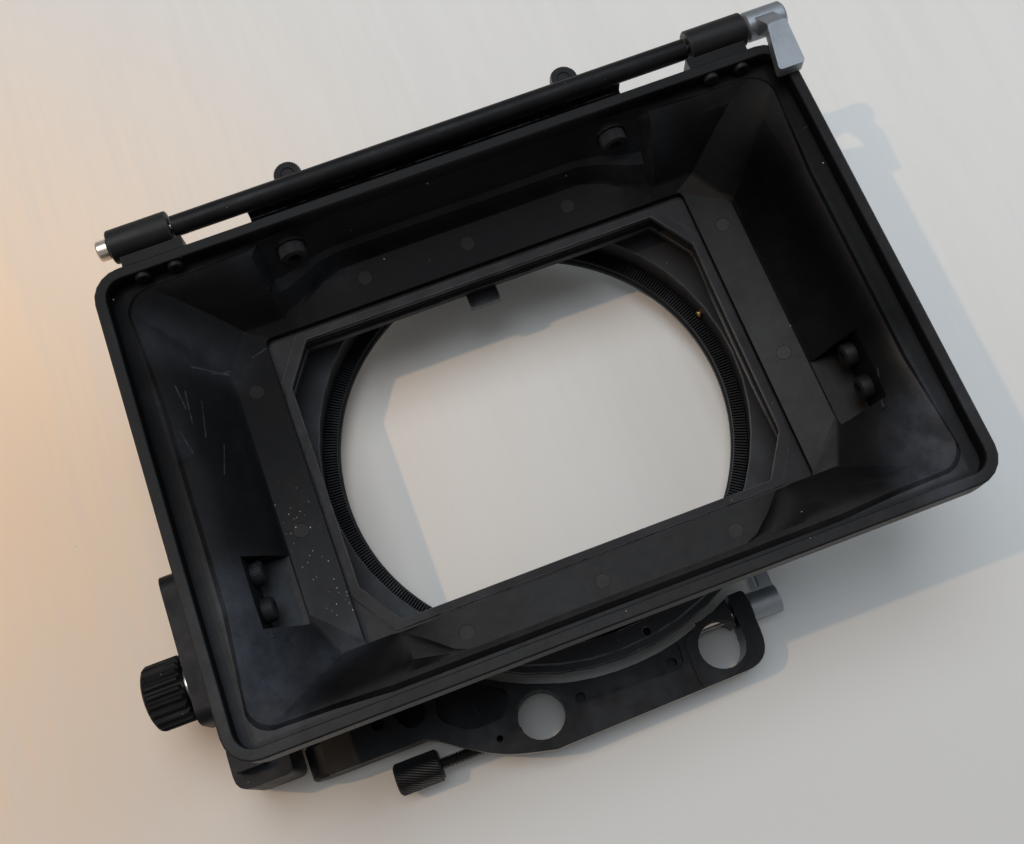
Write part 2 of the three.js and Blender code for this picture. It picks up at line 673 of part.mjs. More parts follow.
const hood = without(
  joined(hoodLoft(), pocketSkin, mirrored(pocketSkin), topBoss, mirrored(topBoss)),
  pocketCut, mirrored(pocketCut), topRoom, mirrored(topRoom));
add('hood_shade', hood, finish.moulded);

const sideScrewZ = (pocketTop + pocketLow) / 2 + SIDE_SCREW_RAISE;
[['left', -1], ['right', 1]].forEach(([side, sign]) => {
  [['upper', 1], ['lower', -1]].forEach(([place, up]) => {
    const head = turnedX(headProfile(SIDE_SCREW_D / 2, POCKET_OUT - SEAT, POCKET_OUT - SIDE_SCREW_H),
      SIDE_SCREW_Y, sideScrewZ + up * SIDE_SCREW_PITCH / 2, SCREW_SIDES);
    add(`side_screw_${side}_${place}`, sign > 0 ? head : mirrored(head), finish.blackScrew);
  });
  const top = turnedZ(headProfile(TOP_SCREW_D / 2, topSeat - SEAT, topSeat - TOP_SCREW_H),
    TOP_SCREW_X, TOP_SCREW_Y, SCREW_SIDES);
  add(`top_screw_${side}`, sign > 0 ? top : mirrored(top), finish.blackScrew);
  RIM_SCREW_INSETS.forEach((inset, i) => {
    const seat = halfH - RIM_BAND - SEAT;
    const head = turnedZ(headProfile(RIM_SCREW_D / 2, seat, seat - RIM_SCREW_H), halfW - inset, RIM_SCREW_Y,
      SCREW_SIDES);
    add(`rim_screw_${side}_${i + 1}`, sign > 0 ? head : mirrored(head), finish.blackScrew);
  });
});

// Front frame: a flat plate with a raised bezel round its eight-sided aperture and a stepped lip
const frameOuter = rectangle(-OPENING_W / 2 - FRAME_LAP, OPENING_W / 2 + FRAME_LAP,
  -OPENING_H / 2 - FRAME_LAP, OPENING_H / 2 + FRAME_LAP, FRAME_R);
const frame = without(
  joined(alongY(frameOuter, FRAME_Y, FRAME_Y + FRAME_T),
    alongY(opened(BEZEL_W), FRAME_Y - BEZEL_T, FRAME_Y + FRAME_T)),
  alongY(opened(0), FRAME_Y - CUT, FRAME_Y + FRAME_T + CUT),
  alongY(opened(LIP_STEP), FRAME_Y + FRAME_T - LIP_T, FRAME_Y + FRAME_T + CUT));
add('front_frame', frame, finish.frame);

// Filter stage: a flat housing with two slots that are open at the top
const slotGap = RUN - SEAT;
const stageHalfW = TRAY_W / 2 + STAGE_SIDE;
const stageOutline = rectangle(-stageHalfW, stageHalfW, STAGE_LOW, STAGE_TOP, STAGE_R);
const stageOuter = alongY(stageOutline, STAGE_Y, STAGE_BACK);
const traySlots = TRAY_Y.map((y) => box(-TRAY_W / 2 - slotGap, TRAY_W / 2 + slotGap,
  y - slotGap, y + TRAY_T + slotGap, TRAY_LOW - slotGap, STAGE_TOP + CUT));
const stageCuts = [
  alongY(opened(TRAY_GROW * 2), STAGE_Y - CUT, TRAY_Y[1] + CUT),
  turnedY(rodProfile(REAR_BORE_R - REAR_LIP, TRAY_Y[1], STAGE_BACK + CUT), 0, 0, FINE_SIDES),
];
add('stage_body', without(stageOuter, ...traySlots, ...stageCuts), finish.housing);

const tray = (y) => {
  const plate = alongY(rectangle(-TRAY_W / 2, TRAY_W / 2, TRAY_LOW, TRAY_TOP, TRAY_R), y, y + TRAY_T);
  const grip = alongY(rectangle(-TRAY_GRIP_W / 2, TRAY_GRIP_W / 2, TRAY_TOP - CUT,
    TRAY_TOP + TRAY_GRIP_H, TRAY_GRIP_R), y + (TRAY_T - TRAY_GRIP_T) / 2, y + (TRAY_T + TRAY_GRIP_T) / 2);
  const seat = box(-GLASS_W / 2, GLASS_W / 2, y + TRAY_T - GLASS_T, y + TRAY_T + CUT,
    -GLASS_H / 2, GLASS_H / 2);
  return without(joined(plate, grip), seat, alongY(opened(TRAY_GROW), y - CUT, y + TRAY_T + CUT));
};
add('filter_tray_front', tray(TRAY_Y[0]), finish.housing);
const clipY = TRAY_Y[1] + TRAY_T - GLASS_T + RUN;
const clipTop = APERTURE_H / 2 + TRAY_GROW + CLIP_RISE;
const clipRoom = box(-CLIP_W / 2 - RUN, CLIP_W / 2 + RUN, clipY - RUN, TRAY_Y[1] + TRAY_T + CUT,
  APERTURE_H / 2, clipTop + CLIP_TRAVEL + RUN);
add('filter_tray_rear', without(tray(TRAY_Y[1]), clipRoom), finish.housing);
const clip = alongY(rounded([[-CLIP_W / 2, clipTop - CLIP_DROP], [CLIP_W / 2, clipTop - CLIP_DROP],
  [CLIP_W / 2, clipTop], [-CLIP_W / 2, clipTop]], [CLIP_R, CLIP_R, EDGE, EDGE]), clipY, clipY + CLIP_T);
add('filter_clip', clip, finish.knob);

// Rear housing: a turned drum with a stepped face and a bore for the ring
const lockTurn = [0, -LOCK_ANGLE, 0];
const lockAxis = (profile) => turnedX(profile, LOCK_Y, 0, SCREW_SIDES).rotate(lockTurn);
const drumFace = STAGE_BACK + SEAT;
const drumStep = STAGE_BACK + REAR_SEAT_T;
const drum = turnedY([[REAR_BORE_R, drumFace], [REAR_STEP_R, drumFace], [REAR_STEP_R, drumStep],
  [REAR_R, drumStep], [REAR_R, REAR_STEP_Y], [REAR_STEP_R, REAR_STEP_Y + REAR_STEP_SLOPE],
  [REAR_STEP_R, REAR_BACK], [REAR_BORE_R, REAR_BACK], [REAR_BORE_R, drumFace]], 0, 0, FINE_SIDES);
const rearHole = turnedY(rodProfile(REAR_HOLE_D / 2, STAGE_BACK - CUT, STAGE_BACK + HOLE_DEPTH),
  REAR_HOLE_X, -REAR_BORE_R - REAR_HOLE_OUT, SCREW_SIDES);
const lockBore = lockAxis(rodProfile(LOCK_TIP_D / 2 + RUN, REAR_BORE_R - CUT * 2, REAR_R + CUT));
add('rear_housing', without(drum, rearHole, lockBore), finish.housing);

const ribTurn = 360 / RIB_COUNT;
const ribHalf = RING_R * Math.sin(ribTurn * RIB_SHARE / 2 * Math.PI / 180);
const rib = box(RING_BAND_R + SEAT, RING_R, RING_FRONT - RIB_H, RING_FRONT + RIB_H / 2, -ribHalf, ribHalf);
const ringBody = turnedY([[RING_BAND_R, RING_FRONT], [RING_R, RING_FRONT], [RING_R, RING_FLANGE_Y],
  [RING_R + RING_FLANGE, RING_FLANGE_Y], [RING_R + RING_FLANGE, RING_BACK],
  [RING_HOLE_R + RING_MOUTH, RING_BACK],
  [RING_HOLE_R, RING_BACK - RING_MOUTH_DEPTH], [RING_HOLE_R, RING_FRONT + RING_STEP_DEPTH],
  [RING_LIP_R, RING_FRONT + RING_STEP_DEPTH], [RING_LIP_R, RING_FRONT + RING_LIP_DEPTH],
  [RING_BAND_R, RING_FRONT + RING_LIP_DEPTH], [RING_BAND_R, RING_FRONT]], 0, 0, RIB_COUNT / 2);
const ribs = Array.from({ length: RIB_COUNT }, (_, i) => rib.rotate([0, i * ribTurn, 0]));
add('rear_ring', ringBody.add(wasm.Manifold.union(ribs)), finish.blackScrew);
add('ring_lock_tip', lockAxis(rodProfile(LOCK_TIP_D / 2, REAR_BORE_R - LOCK_TIP_OUT, REAR_R, EDGE)),
  finish.brass);
const lockHeadIn = REAR_R + LOCK_HEAD_GAP;
const lockHead = alongZ(knurled(LOCK_HEAD_D / 2, LOCK_HEAD_D / 2 - KNURL_DEPTH, LOCK_KNURLS),
  lockHeadIn, lockHeadIn + LOCK_HEAD_L).rotate([0, 90, 0]).translate([0, LOCK_Y, 0]).rotate(lockTurn);
add('ring_lock_knob', lockHead, finish.blackScrew);

// Rod bracket: one machined plate with a cradle for the drum, two rod bores and a hinge knuckle
const byLeftRod = ([across, up]) => [-rodX + across * ROD_BORE, -ROD_DROP + up * ROD_BORE];
const byRightRod = ([across, up]) => [rodX + across * ROD_BORE, -ROD_DROP + up * ROD_BORE];
const bracketRight = rodX + RIGHT_RUN;
const rightTop = RIGHT_RISE - ROD_DROP;
const cradleFrom = Math.asin(armTop / CRADLE_R);
const cradleTo = -Math.acos((clampSlotX + CLAMP_SLOT_W) / CRADLE_R);
const bracketOutline = () => {
  const shape = new THREE.Shape();
  shape.moveTo(hingeX, knuckleTop);
  shape.lineTo(-rodX - ARM_REACH - ARM_SLOPE, knuckleTop);
  shape.lineTo(-rodX - ARM_REACH, armTop);
  shape.lineTo(-CRADLE_R * Math.cos(cradleFrom), armTop);
  shape.absarc(0, 0, CRADLE_R, Math.PI - cradleFrom, 2 * Math.PI + cradleTo, false);
  shape.lineTo(bracketRight - RIGHT_R, rightTop);
  shape.quadraticCurveTo(bracketRight, rightTop, bracketRight, rightTop - RIGHT_R);
  shape.lineTo(bracketRight, -ROD_DROP);
  shape.quadraticCurveTo(bracketRight, -ROD_DROP - BASE_RIGHT_DROP,
    rodX + BASE_RUN, -ROD_DROP - BASE_RIGHT_DROP);
  shape.lineTo(BASE_INSET - rodX, -ROD_DROP - BASE_DROP);
  shape.splineThru(undersideShares.map((place) => new THREE.Vector2(...byLeftRod(place))));
  shape.lineTo(byLeftRod([undersideEndShare, 0])[0], armLow);
  shape.lineTo(hingeX, armLow);
  shape.closePath();
  return shape;
};
const cutFrom = BOSS_Y - CUT;
const cutAlongY = (shape, depth) => alongY(shape, cutFrom, BRACKET_Y + depth);
const knuckle = turnedZ(rodProfile(KNUCKLE_R, armLow, knuckleTop, CHAMFER), hingeX, middleY);
const bore = (x) => turnedY(rodProfile(ROD_BORE / 2, cutFrom, BRACKET_BACK + CUT), x, -ROD_DROP, SIDES);
const bossRight = alongY(rounded(rightBossShares.map(byRightRod), POCKET_R), BOSS_Y, BRACKET_Y + CUT);
const clampSlot = box(clampSlotX, clampSlotX + CLAMP_SLOT_W, cutFrom, BRACKET_BACK + CUT,
  -ROD_DROP + KNOB_CHAMFER, armTop);
const webOutline = polygon([...webLeftShares.map(byLeftRod), ...webRightShares.map(byRightRod)]);
const webRecess = cutAlongY(webOutline, WEB_DEPTH);
const largePocket = cutAlongY(rounded(largePocketShares.map(byLeftRod), POCKET_R), POCKET_DEPTH);
const smallPocket = cutAlongY(rounded(smallPocketShares.map(byLeftRod), POCKET_R), POCKET_DEPTH);
const plainHoles = [[byLeftRod(webHoleLeftShare), WEB_HOLE_D], [byRightRod(webHoleRightShare), WEB_HOLE_D],
  [byLeftRod(smallHoleShare), SMALL_HOLE_D], [byLeftRod(armHoleShare), ARM_HOLE_D]].map(([[x, z], d]) =>
  turnedY(rodProfile(d / 2, cutFrom, BRACKET_Y + HOLE_DEPTH), x, z, SCREW_SIDES));
const leverZ = LEVER_RISE - ROD_DROP;
const screwZ = -ROD_DROP - ROD_SCREW_DROP;
const screwIn = rodX + ROD_BORE / 2 + ROD_SCREW_GAP;
const boltIn = bracketRight + LEVER_STEP + SEAT / 2 - BOLT_L;
const boltBore = turnedX(rodProfile(BOLT_D / 2 + RUN, boltIn - CUT, bracketRight + CUT), middleY, leverZ,
  SCREW_SIDES);
const screwBoreProfile = rodProfile(ROD_SCREW_D / 2 + RUN, -rodX - ROD_SCREW_HEAD_OUT, -rodX);
const screwBore = turnedX(screwBoreProfile, middleY, screwZ,
  SCREW_SIDES * 2);
const pinBore = turnedZ(rodProfile(PIN_D / 2 + SEAT, armLow + PIN_SUNK, knuckleTop + CUT), hingeX, middleY);
const bracket = without(
  joined(alongY(bracketOutline(), BRACKET_Y, BRACKET_BACK, BRACKET_CURVE_STEPS), knuckle, bossRight),
  bore(-rodX), bore(rodX), clampSlot, webRecess, largePocket, smallPocket, ...plainHoles,
  boltBore, screwBore, pinBore);
add('rod_bracket', bracket, finish.anodised);
const pinLow = armLow + PIN_SUNK + SEAT;
add('hinge_pin', turnedZ([[0, pinLow], [PIN_D / 2, pinLow], [PIN_D / 2, pinTop], [PIN_HEAD_D / 2, pinTop],
  [PIN_HEAD_D / 2, pinTop + PIN_HEAD_H], [0, pinTop + PIN_HEAD_H]], hingeX, middleY, SCREW_SIDES),
finish.steel);

const leverIn = bracketRight + LEVER_STEP;
const leverEnd = leverIn + LEVER_HUB_L;
const boltProfile = rodProfile(BOLT_D / 2, boltIn, leverIn + SEAT / 2);
add('rod_clamp_bolt', turnedX(boltProfile, middleY, leverZ, SCREW_SIDES),
  finish.steel);
const leverHub = turnedX(rodProfile(LEVER_HUB_R, leverIn + SEAT, leverEnd, EDGE), middleY, leverZ);
const leverArmTop = leverZ + LEVER_ARM_L;
const leverArm = alongX(rounded([[middleY - LEVER_ARM_T / 2, leverZ], [middleY + LEVER_ARM_T / 2, leverZ],
  [middleY + LEVER_ARM_T / 2, leverArmTop], [middleY - LEVER_ARM_T / 2, leverArmTop]],
[EDGE, EDGE, LEVER_ARM_R, LEVER_ARM_R]), leverEnd - LEVER_ARM_W, leverEnd - EDGE);
const leverSlotX = leverEnd - LEVER_ARM_W + LEVER_SLOT_IN;
const leverSlot = box(leverSlotX, leverSlotX + LEVER_SLOT_W, middleY - LEVER_ARM_T, middleY + LEVER_ARM_T,
  leverZ + LEVER_HUB_R + EDGE, leverArmTop + CUT);
add('rod_lever', without(joined(leverHub, leverArm), leverSlot), finish.satin);

const headIn = -rodX - ROD_SCREW_HEAD_OUT;
const headEnd = headIn - ROD_SCREW_HEAD_L;
const headR = ROD_SCREW_HEAD_D / 2;
add('rod_screw', turnedX([[0, headEnd], [headR - CHAMFER, headEnd], [headR, headEnd + CHAMFER],
  [headR, headIn - CHAMFER], [headR - CHAMFER, headIn], [ROD_SCREW_D / 2, headIn],
  [ROD_SCREW_D / 2, -screwIn], [0, -screwIn]], middleY, screwZ), finish.blackScrew);
add('rod_screw_tip', turnedX(rodProfile(TIP_D / 2, SEAT - screwIn, TIP_OUT - rodX - ROD_BORE / 2, EDGE),
  middleY, screwZ, SCREW_SIDES), finish.brass);

// Swing arm: a bar beside the rim, a waist behind it, a foot beside the bracket and a lug on its knuckle
const knobZ = KNOB_RISE - ROD_DROP;
const barLeft = -halfW - BAR_OUT;
const barIn = barLeft + BAR_T;
const barFront = KNOB_Y - BAR_DEPTH / 2;
const barRear = KNOB_Y + BAR_DEPTH / 2;
const waistTop = knobZ - WAIST_DROP;
const footLow = armLow + FOOT_RISE;
const footLeft = -halfW - FOOT_OUT;
const footTop = footLow + FOOT_H;
const footRight = hingeX - KNUCKLE_R - FOOT_GAP;
const bar = alongX(rounded([[barFront, waistTop], [barRear, waistTop], [barRear, knobZ + BAR_LIFT],
  [barFront, knobZ + BAR_LIFT]], [RIM_R / 2, EDGE, BAR_R, BAR_R]), barLeft, barIn);
const waist = box(barLeft + WAIST_IN, barLeft + WAIST_IN + WAIST_T,
  barFront + FOOT_SLOPE, barRear, footLow + FOOT_R,
  waistTop + BAR_R);
const foot = alongY(rounded([[footLeft, footLow], [footRight, footLow], [footRight, footTop],
  [footLeft, footTop + FOOT_SLOPE]], [FOOT_R, FOOT_R / 2, FOOT_R / 2, FOOT_R / 2]),
BRACKET_Y - FOOT_FRONT, BRACKET_BACK - FOOT_SET);
const lug = joined(
  box(footLeft + CUT, hingeX, middleY - KNUCKLE_R, middleY + KNUCKLE_R, lugLow, lugLow + LUG_T),
  turnedZ(rodProfile(KNUCKLE_R, lugLow, lugLow + LUG_T), hingeX, middleY));
const keyLow = knobZ - KEY_FALL;
const keyTop = knobZ + KEY_RISE;
const guide = box(barIn - GUIDE_DEPTH, barIn + WAIST_T,
  KNOB_Y - GUIDE_W / 2 - RUN, KNOB_Y + GUIDE_W / 2 + RUN,
  keyLow - GUIDE_SPARE, keyTop + HEIGHT_TRAVEL + GUIDE_SPARE);
const studRoom = STUD_D / 2 + RUN;
const studSlot = alongX(rectangle(KNOB_Y - studRoom, KNOB_Y + studRoom, knobZ - studRoom,
  knobZ + studRoom + HEIGHT_TRAVEL, studRoom), barLeft - CUT, barIn);
const lugBoreProfile = rodProfile(PIN_D / 2 + PIN_FIT, lugLow - CUT, lugLow + LUG_T + CUT);
const lugBore = turnedZ(lugBoreProfile, hingeX, middleY);
const knuckleRoom = turnedZ(rodProfile(KNUCKLE_R + RUN * 3, footLow - CUT, lugLow), hingeX, middleY);
const arm = without(joined(bar, waist, foot, lug), guide, studSlot, lugBore, knuckleRoom);
add('swing_arm', arm, finish.anodised);
const washerLow = knuckleTop + SEAT;
const washerR = KNUCKLE_R + HINGE_WASHER_LAP;
add('hinge_washer', turnedZ([[PIN_D / 2 + SEAT, washerLow], [washerR, washerLow],
  [washerR, washerLow + HINGE_WASHER_T], [PIN_D / 2 + SEAT, washerLow + HINGE_WASHER_T],
  [PIN_D / 2 + SEAT, washerLow]], hingeX, middleY, SCREW_SIDES), finish.steel);

// Side plate, screwed to the hood's pocket and keyed in the arm
const plateIn = -POCKET_OUT - POCKET_SKIN - SEAT;
const plateBody = alongX(rectangle(PLATE_FRONT, PLATE_REAR, knobZ - PLATE_FALL, knobZ + PLATE_RISE, PLATE_R),
  plateIn - PLATE_T, plateIn);
const key = box(barIn - GUIDE_DEPTH + RUN, plateIn - PLATE_T + CUT,
  KNOB_Y - GUIDE_W / 2, KNOB_Y + GUIDE_W / 2,
  keyLow, keyTop);
const studEnd = plateIn - PLATE_T / 2;
const studBore = turnedX(rodProfile(STUD_D / 2 + SEAT, barLeft, studEnd), KNOB_Y, knobZ, SCREW_SIDES);
add('side_plate', without(joined(plateBody, key), studBore), finish.anodised);

const knobIn = barLeft - KNOB_WASHER_T - SEAT * 2;
const knobBody = alongZ(fluted(KNOB_R, KNOB_R - KNOB_GROOVE, KNOB_FLUTES), knobIn - KNOB_T, knobIn)
  .rotate([0, 90, 0]).translate([0, KNOB_Y, knobZ]);
const knobEnvelope = turnedX([[0, knobIn - KNOB_T], [KNOB_R - KNOB_CHAMFER * 2, knobIn - KNOB_T],
  [KNOB_R + SEAT, knobIn - KNOB_T + KNOB_CHAMFER * 2], [KNOB_R + SEAT, knobIn], [0, knobIn]],
KNOB_Y, knobZ, KNOB_FLUTES * 2);
add('arm_knob', knobBody.intersect(knobEnvelope), finish.knob);
const studProfile = rodProfile(STUD_D / 2, knobIn + SEAT, studEnd - SEAT);
add('arm_knob_stud', turnedX(studProfile, KNOB_Y, knobZ, SCREW_SIDES),
  finish.steel);
const knobWasherIn = knobIn + KNOB_WASHER_T;
add('arm_knob_washer', turnedX([[STUD_D / 2 + SEAT, knobIn + SEAT], [KNOB_WASHER_D / 2, knobIn + SEAT],
  [KNOB_WASHER_D / 2, knobWasherIn], [STUD_D / 2 + SEAT, knobWasherIn], [STUD_D / 2 + SEAT, knobIn + SEAT]],
KNOB_Y, knobZ, SCREW_SIDES), finish.steel);

// Flag holder: two blocks on the rim, a tube between them, a clamp plate behind the tube
const rimTop = halfH + SEAT;
const tubeZ = halfH + TUBE_RISE;
const blockIn = halfW - BLOCK_INSET;
const blockOut = blockIn + BLOCK_L;
const blockBody = turnedX(rodProfile(BLOCK_D / 2, blockIn, blockOut, EDGE), TUBE_Y, tubeZ);
const blockFoot = box(blockIn - BLOCK_FOOT_OUT, blockOut - BLOCK_FOOT_INSET, TUBE_Y - BLOCK_FOOT_FRONT,
  TUBE_Y + BLOCK_FOOT_BACK, rimTop, rimTop + BLOCK_FOOT_H);
const tubeRoomProfile = rodProfile(TUBE_D / 2 + RUN, blockIn - BLOCK_FOOT_OUT - CUT, blockIn);
const tubeRoom = turnedX(tubeRoomProfile, TUBE_Y, tubeZ);
const blockBore = turnedX(rodProfile(FLAG_ROD_D / 2 + PIN_FIT, blockIn - CUT, blockOut + CUT), TUBE_Y, tubeZ,
  SCREW_SIDES);
const blockRight = without(joined(blockBody, blockFoot), tubeRoom, blockBore);
add('flag_block_right', blockRight, finish.moulded);
add('flag_block_left', mirrored(blockRight), finish.moulded);
const tubeHalf = blockIn - RUN;
add('flag_tube', turnedX([[TUBE_BORE / 2, -tubeHalf], [TUBE_D / 2, -tubeHalf], [TUBE_D / 2, tubeHalf],
  [TUBE_BORE / 2, tubeHalf], [TUBE_BORE / 2, -tubeHalf]], TUBE_Y, tubeZ), finish.anodised);
const pinEnd = -blockOut - RUN - FLAG_PIN_L;
add('flag_rod', turnedX([[0, pinEnd], [FLAG_PIN_D / 2 - EDGE, pinEnd], [FLAG_PIN_D / 2, pinEnd + EDGE],
  [FLAG_PIN_D / 2, -blockOut - RUN], [FLAG_ROD_D / 2, -blockOut - RUN], [FLAG_ROD_D / 2, blockOut + SEAT],
  [0, blockOut + SEAT]], TUBE_Y, tubeZ, SCREW_SIDES), finish.steel);

const tubeRear = TUBE_Y + TUBE_D / 2 + SEAT;
const plateFront = TUBE_Y + TUBE_D / 2 + FLAG_PLATE_SET;
const plateBack = plateFront + FLAG_PLATE_T;
const flagScrewZ = tubeZ + FLAG_SCREW_RISE;
const flagScrewX = FLAG_PLATE_HALF - FLAG_SCREW_IN;
const tab = turnedY(rodProfile(FLAG_TAB_R, plateFront, plateBack), flagScrewX, flagScrewZ, SCREW_SIDES);
const tabBore = turnedY(rodProfile(FLAG_SCREW_SHANK_D / 2 + PIN_FIT, plateFront - CUT, plateBack + CUT),
  flagScrewX, flagScrewZ, SCREW_SIDES);
const flagPlate = without(joined(
  box(-FLAG_PLATE_HALF, FLAG_PLATE_HALF, plateFront, plateBack,
    tubeZ - FLAG_PLATE_DROP, tubeZ + FLAG_PLATE_RISE),
  box(-FLAG_PLATE_HALF, FLAG_PLATE_HALF, tubeRear, plateFront + CUT,
    tubeZ - FLAG_WEB_HALF, tubeZ + FLAG_WEB_HALF),
  tab, mirrored(tab)), tabBore, mirrored(tabBore));
add('flag_plate', flagPlate, finish.anodised);
const screwHeadBack = plateFront - RUN;
const flagScrew = joined(
  alongY(knurled(FLAG_SCREW_D / 2, FLAG_SCREW_D / 2 - FLAG_KNURL_DEPTH, FLAG_KNURLS),
    screwHeadBack - FLAG_SCREW_T, screwHeadBack).translate([flagScrewX, 0, flagScrewZ]),
  turnedY(rodProfile(FLAG_SCREW_SHANK_D / 2, screwHeadBack - CUT, screwHeadBack + FLAG_SCREW_SHANK_L),
    flagScrewX, flagScrewZ, SCREW_SIDES));
add('flag_screw_right', flagScrew, finish.blackScrew);
add('flag_screw_left', mirrored(flagScrew), finish.blackScrew);

// Flag lever: a barrel on the end of the rod and a paddle that hangs in front of the rim's corner
const barrelIn = blockOut + RUN;
const barrelEnd = barrelIn + LEVER_BARREL_L;
const paddleIn = barrelIn + PADDLE_TOP_IN;
const paddleFront = TUBE_Y - PADDLE_SET;
const paddleBack = paddleFront + PADDLE_T;
const paddleLow = tubeZ - PADDLE_DROP;
const neckLow = tubeZ - NECK_DROP;
const paddle = alongY(rounded([
  [paddleIn, neckLow + BREAK_RISE], [paddleIn + PADDLE_TOP_W, neckLow + BREAK_RISE],
  [paddleIn - PADDLE_LOW_SHIFT + PADDLE_LOW_W, paddleLow], [paddleIn - PADDLE_LOW_SHIFT - EDGE, paddleLow]],
PADDLE_R), paddleFront, paddleBack);
const neck = alongX(rounded([
  [paddleFront, neckLow], [paddleBack, neckLow], [TUBE_Y - EDGE, tubeZ - LEVER_BARREL_D / 2 + EDGE],
  [TUBE_Y - EDGE, tubeZ], [TUBE_Y - LEVER_BARREL_D / 2 + EDGE, tubeZ],
  [paddleFront, neckLow + BREAK_RISE]], EDGE),
paddleIn, paddleIn + PADDLE_TOP_W);
const leverBarrel = turnedX(rodProfile(LEVER_BARREL_D / 2, barrelIn, barrelEnd, CHAMFER), TUBE_Y, tubeZ);
add('flag_lever', joined(leverBarrel, paddle, neck), finish.satin);

export default object;
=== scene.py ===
import json
import math
from functools import reduce

import bpy
from bpy.props import FloatProperty, FloatVectorProperty, IntProperty, PointerProperty
from mathutils import Matrix, Vector


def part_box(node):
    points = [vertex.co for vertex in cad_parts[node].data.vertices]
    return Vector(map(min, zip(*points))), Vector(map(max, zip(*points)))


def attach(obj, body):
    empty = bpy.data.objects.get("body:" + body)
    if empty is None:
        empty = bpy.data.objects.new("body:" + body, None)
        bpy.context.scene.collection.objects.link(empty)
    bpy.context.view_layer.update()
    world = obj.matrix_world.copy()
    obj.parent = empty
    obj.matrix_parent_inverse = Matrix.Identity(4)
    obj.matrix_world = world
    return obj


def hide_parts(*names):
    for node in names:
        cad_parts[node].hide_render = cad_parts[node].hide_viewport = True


bl_info = {
    "name": "Matte Box",
    "version": (1, 0, 0),
    "blender": (4, 5, 0),
    "location": "View3D > Sidebar > Matte Box",
    "description": "Builds the looks of a matte box around its packed model",
    "category": "Object",
}

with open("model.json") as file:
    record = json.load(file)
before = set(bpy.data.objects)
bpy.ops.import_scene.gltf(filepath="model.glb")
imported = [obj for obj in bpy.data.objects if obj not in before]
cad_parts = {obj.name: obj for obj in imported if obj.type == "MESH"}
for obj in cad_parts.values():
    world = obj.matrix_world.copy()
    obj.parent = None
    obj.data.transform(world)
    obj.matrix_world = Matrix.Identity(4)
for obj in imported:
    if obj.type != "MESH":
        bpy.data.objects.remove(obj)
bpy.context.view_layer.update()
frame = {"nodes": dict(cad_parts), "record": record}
RECORD = frame["record"]
BODY_OF = {n: b for b, ns in RECORD["behaviour"]["bodies"].items() for n in ns}
SLOT_OF = {p["node"]: p["material_slot"] for p in RECORD["subparts"]}
MM = 0.001

# Distances under which vertices are merged, metres: in a new outline and in a whole piece
MERGE_NEW = 1e-6
MERGE = 2e-6

# Camera: its place in the frame's metres, its directions to the right and up, its lens in mm
CAMERA_AT = (-0.03404, -0.39039, -0.02655)
CAMERA_RIGHT = (0.93629, 0.03805, -0.34917)
CAMERA_UP = (0.34374, -0.30352, 0.88866)
CAMERA_LENS = 42.21

# Height of the optics' axis above the rods, and place of the board behind the object, metres
OPTICS_Z = 0.085
BOARD_Y = 0.004

# Round marks that the mould's pins leave on the facets round the opening: X and Z, mm
PIN_MARKS = [(-34.5, 143.8), (34.5, 143.8), (0, 143.2), (-78, 119.5), (78, 119.5),
             (-78, 72.8), (78, 72.8), (-42, 27), (42, 27), (0, 27)]
# The stretch of Y in which those marks lie, mm
PIN_MARK_FROM = -46.5
PIN_MARK_TO = -41

# Channel inside the rim: half sizes of its inner border in X and Z, and its front in Y, mm
CHANNEL_AT = (102.8, 68.6)
CHANNEL_FROM = -70.5

# Lines and patches on the hood: start, end and half width in X and Z, mm
# Fine scratches
SCRATCHES = [((-92, 128), (-84, 127), 0.5), ((-88, 126.5), (-83.5, 128), 0.35),
             ((-97, 121), (-96, 113), 0.3), ((-95, 119), (-95.5, 108), 0.25),
             ((-92, 116), (-93.5, 104), 0.2), ((-99, 106), (-97.5, 99), 0.25),
             ((-90, 102), (-92, 92), 0.2), ((94.5, 53), (92.5, 43), 0.25),
             ((-76, 131), (-71, 133), 0.25)]
# Patches of painted bluish sheen on the walls, soft like films of dust, each with its share
SHEEN_PATCHES = [((-97, 54), (-98, 24), 19, 0.2), ((-99, 92), (-101, 64), 9, 0.03),
         ((-101, 138), (-84, 130), 12, 0.09), ((-104, 120), (-100, 100), 5, 0.06),
         ((100, 36), (93, 18), 15, 0.24), ((-88, 30), (-70, 38), 10, 0.12),
         ((-66, 150), (-42, 147), 9, 0.03), ((50, 150), (66, 147), 9, 0.05)]
# A dusty patch on the left facet, and a shaded one on the right wall
DUSTY = ((-79, 84), (-74, 46), 7)
SHADED = ((92, 130), (98, 66), 16)

# Tones laid over the materials
# Painted bluish sheen for the hood's walls
SHEEN_TONE = (0.14, 0.158, 0.2)
SHADE_TONE = (0.0008, 0.0008, 0.0008)
# Painted shade for the floor of the channel inside the rim
CHANNEL_SHADE_TONE = (0.0018, 0.0018, 0.0021)
SCRATCH_TONE = (0.22, 0.235, 0.26)
CRUMB_TONE = (0.42, 0.37, 0.3)
RUBBED_PLASTIC = (0.11, 0.11, 0.115)
RUBBED_PAINT = (0.2, 0.2, 0.21)
BARE_METAL = (0.52, 0.53, 0.55)
SPECK_ON_PAINT = (0.28, 0.24, 0.19)
SPECK_ON_METAL = (0.3, 0.27, 0.22)
# Painted warm light for the undersides of the black metal near the bottom
UNDERSIDE_LIGHT_TONE = (0.4, 0.36, 0.31)

# Rear ring: radii of its ribs' outer and inner ends and of its hole, and height of the ribs, mm
RIB_OUT = 70.1
RIB_IN = 65.75
RING_HOLE = 65.1
RIB_HEIGHT = 0.7

# How much wider than a ridged piece the shape is that trims its ends
TRIM = 1.01


# Settings

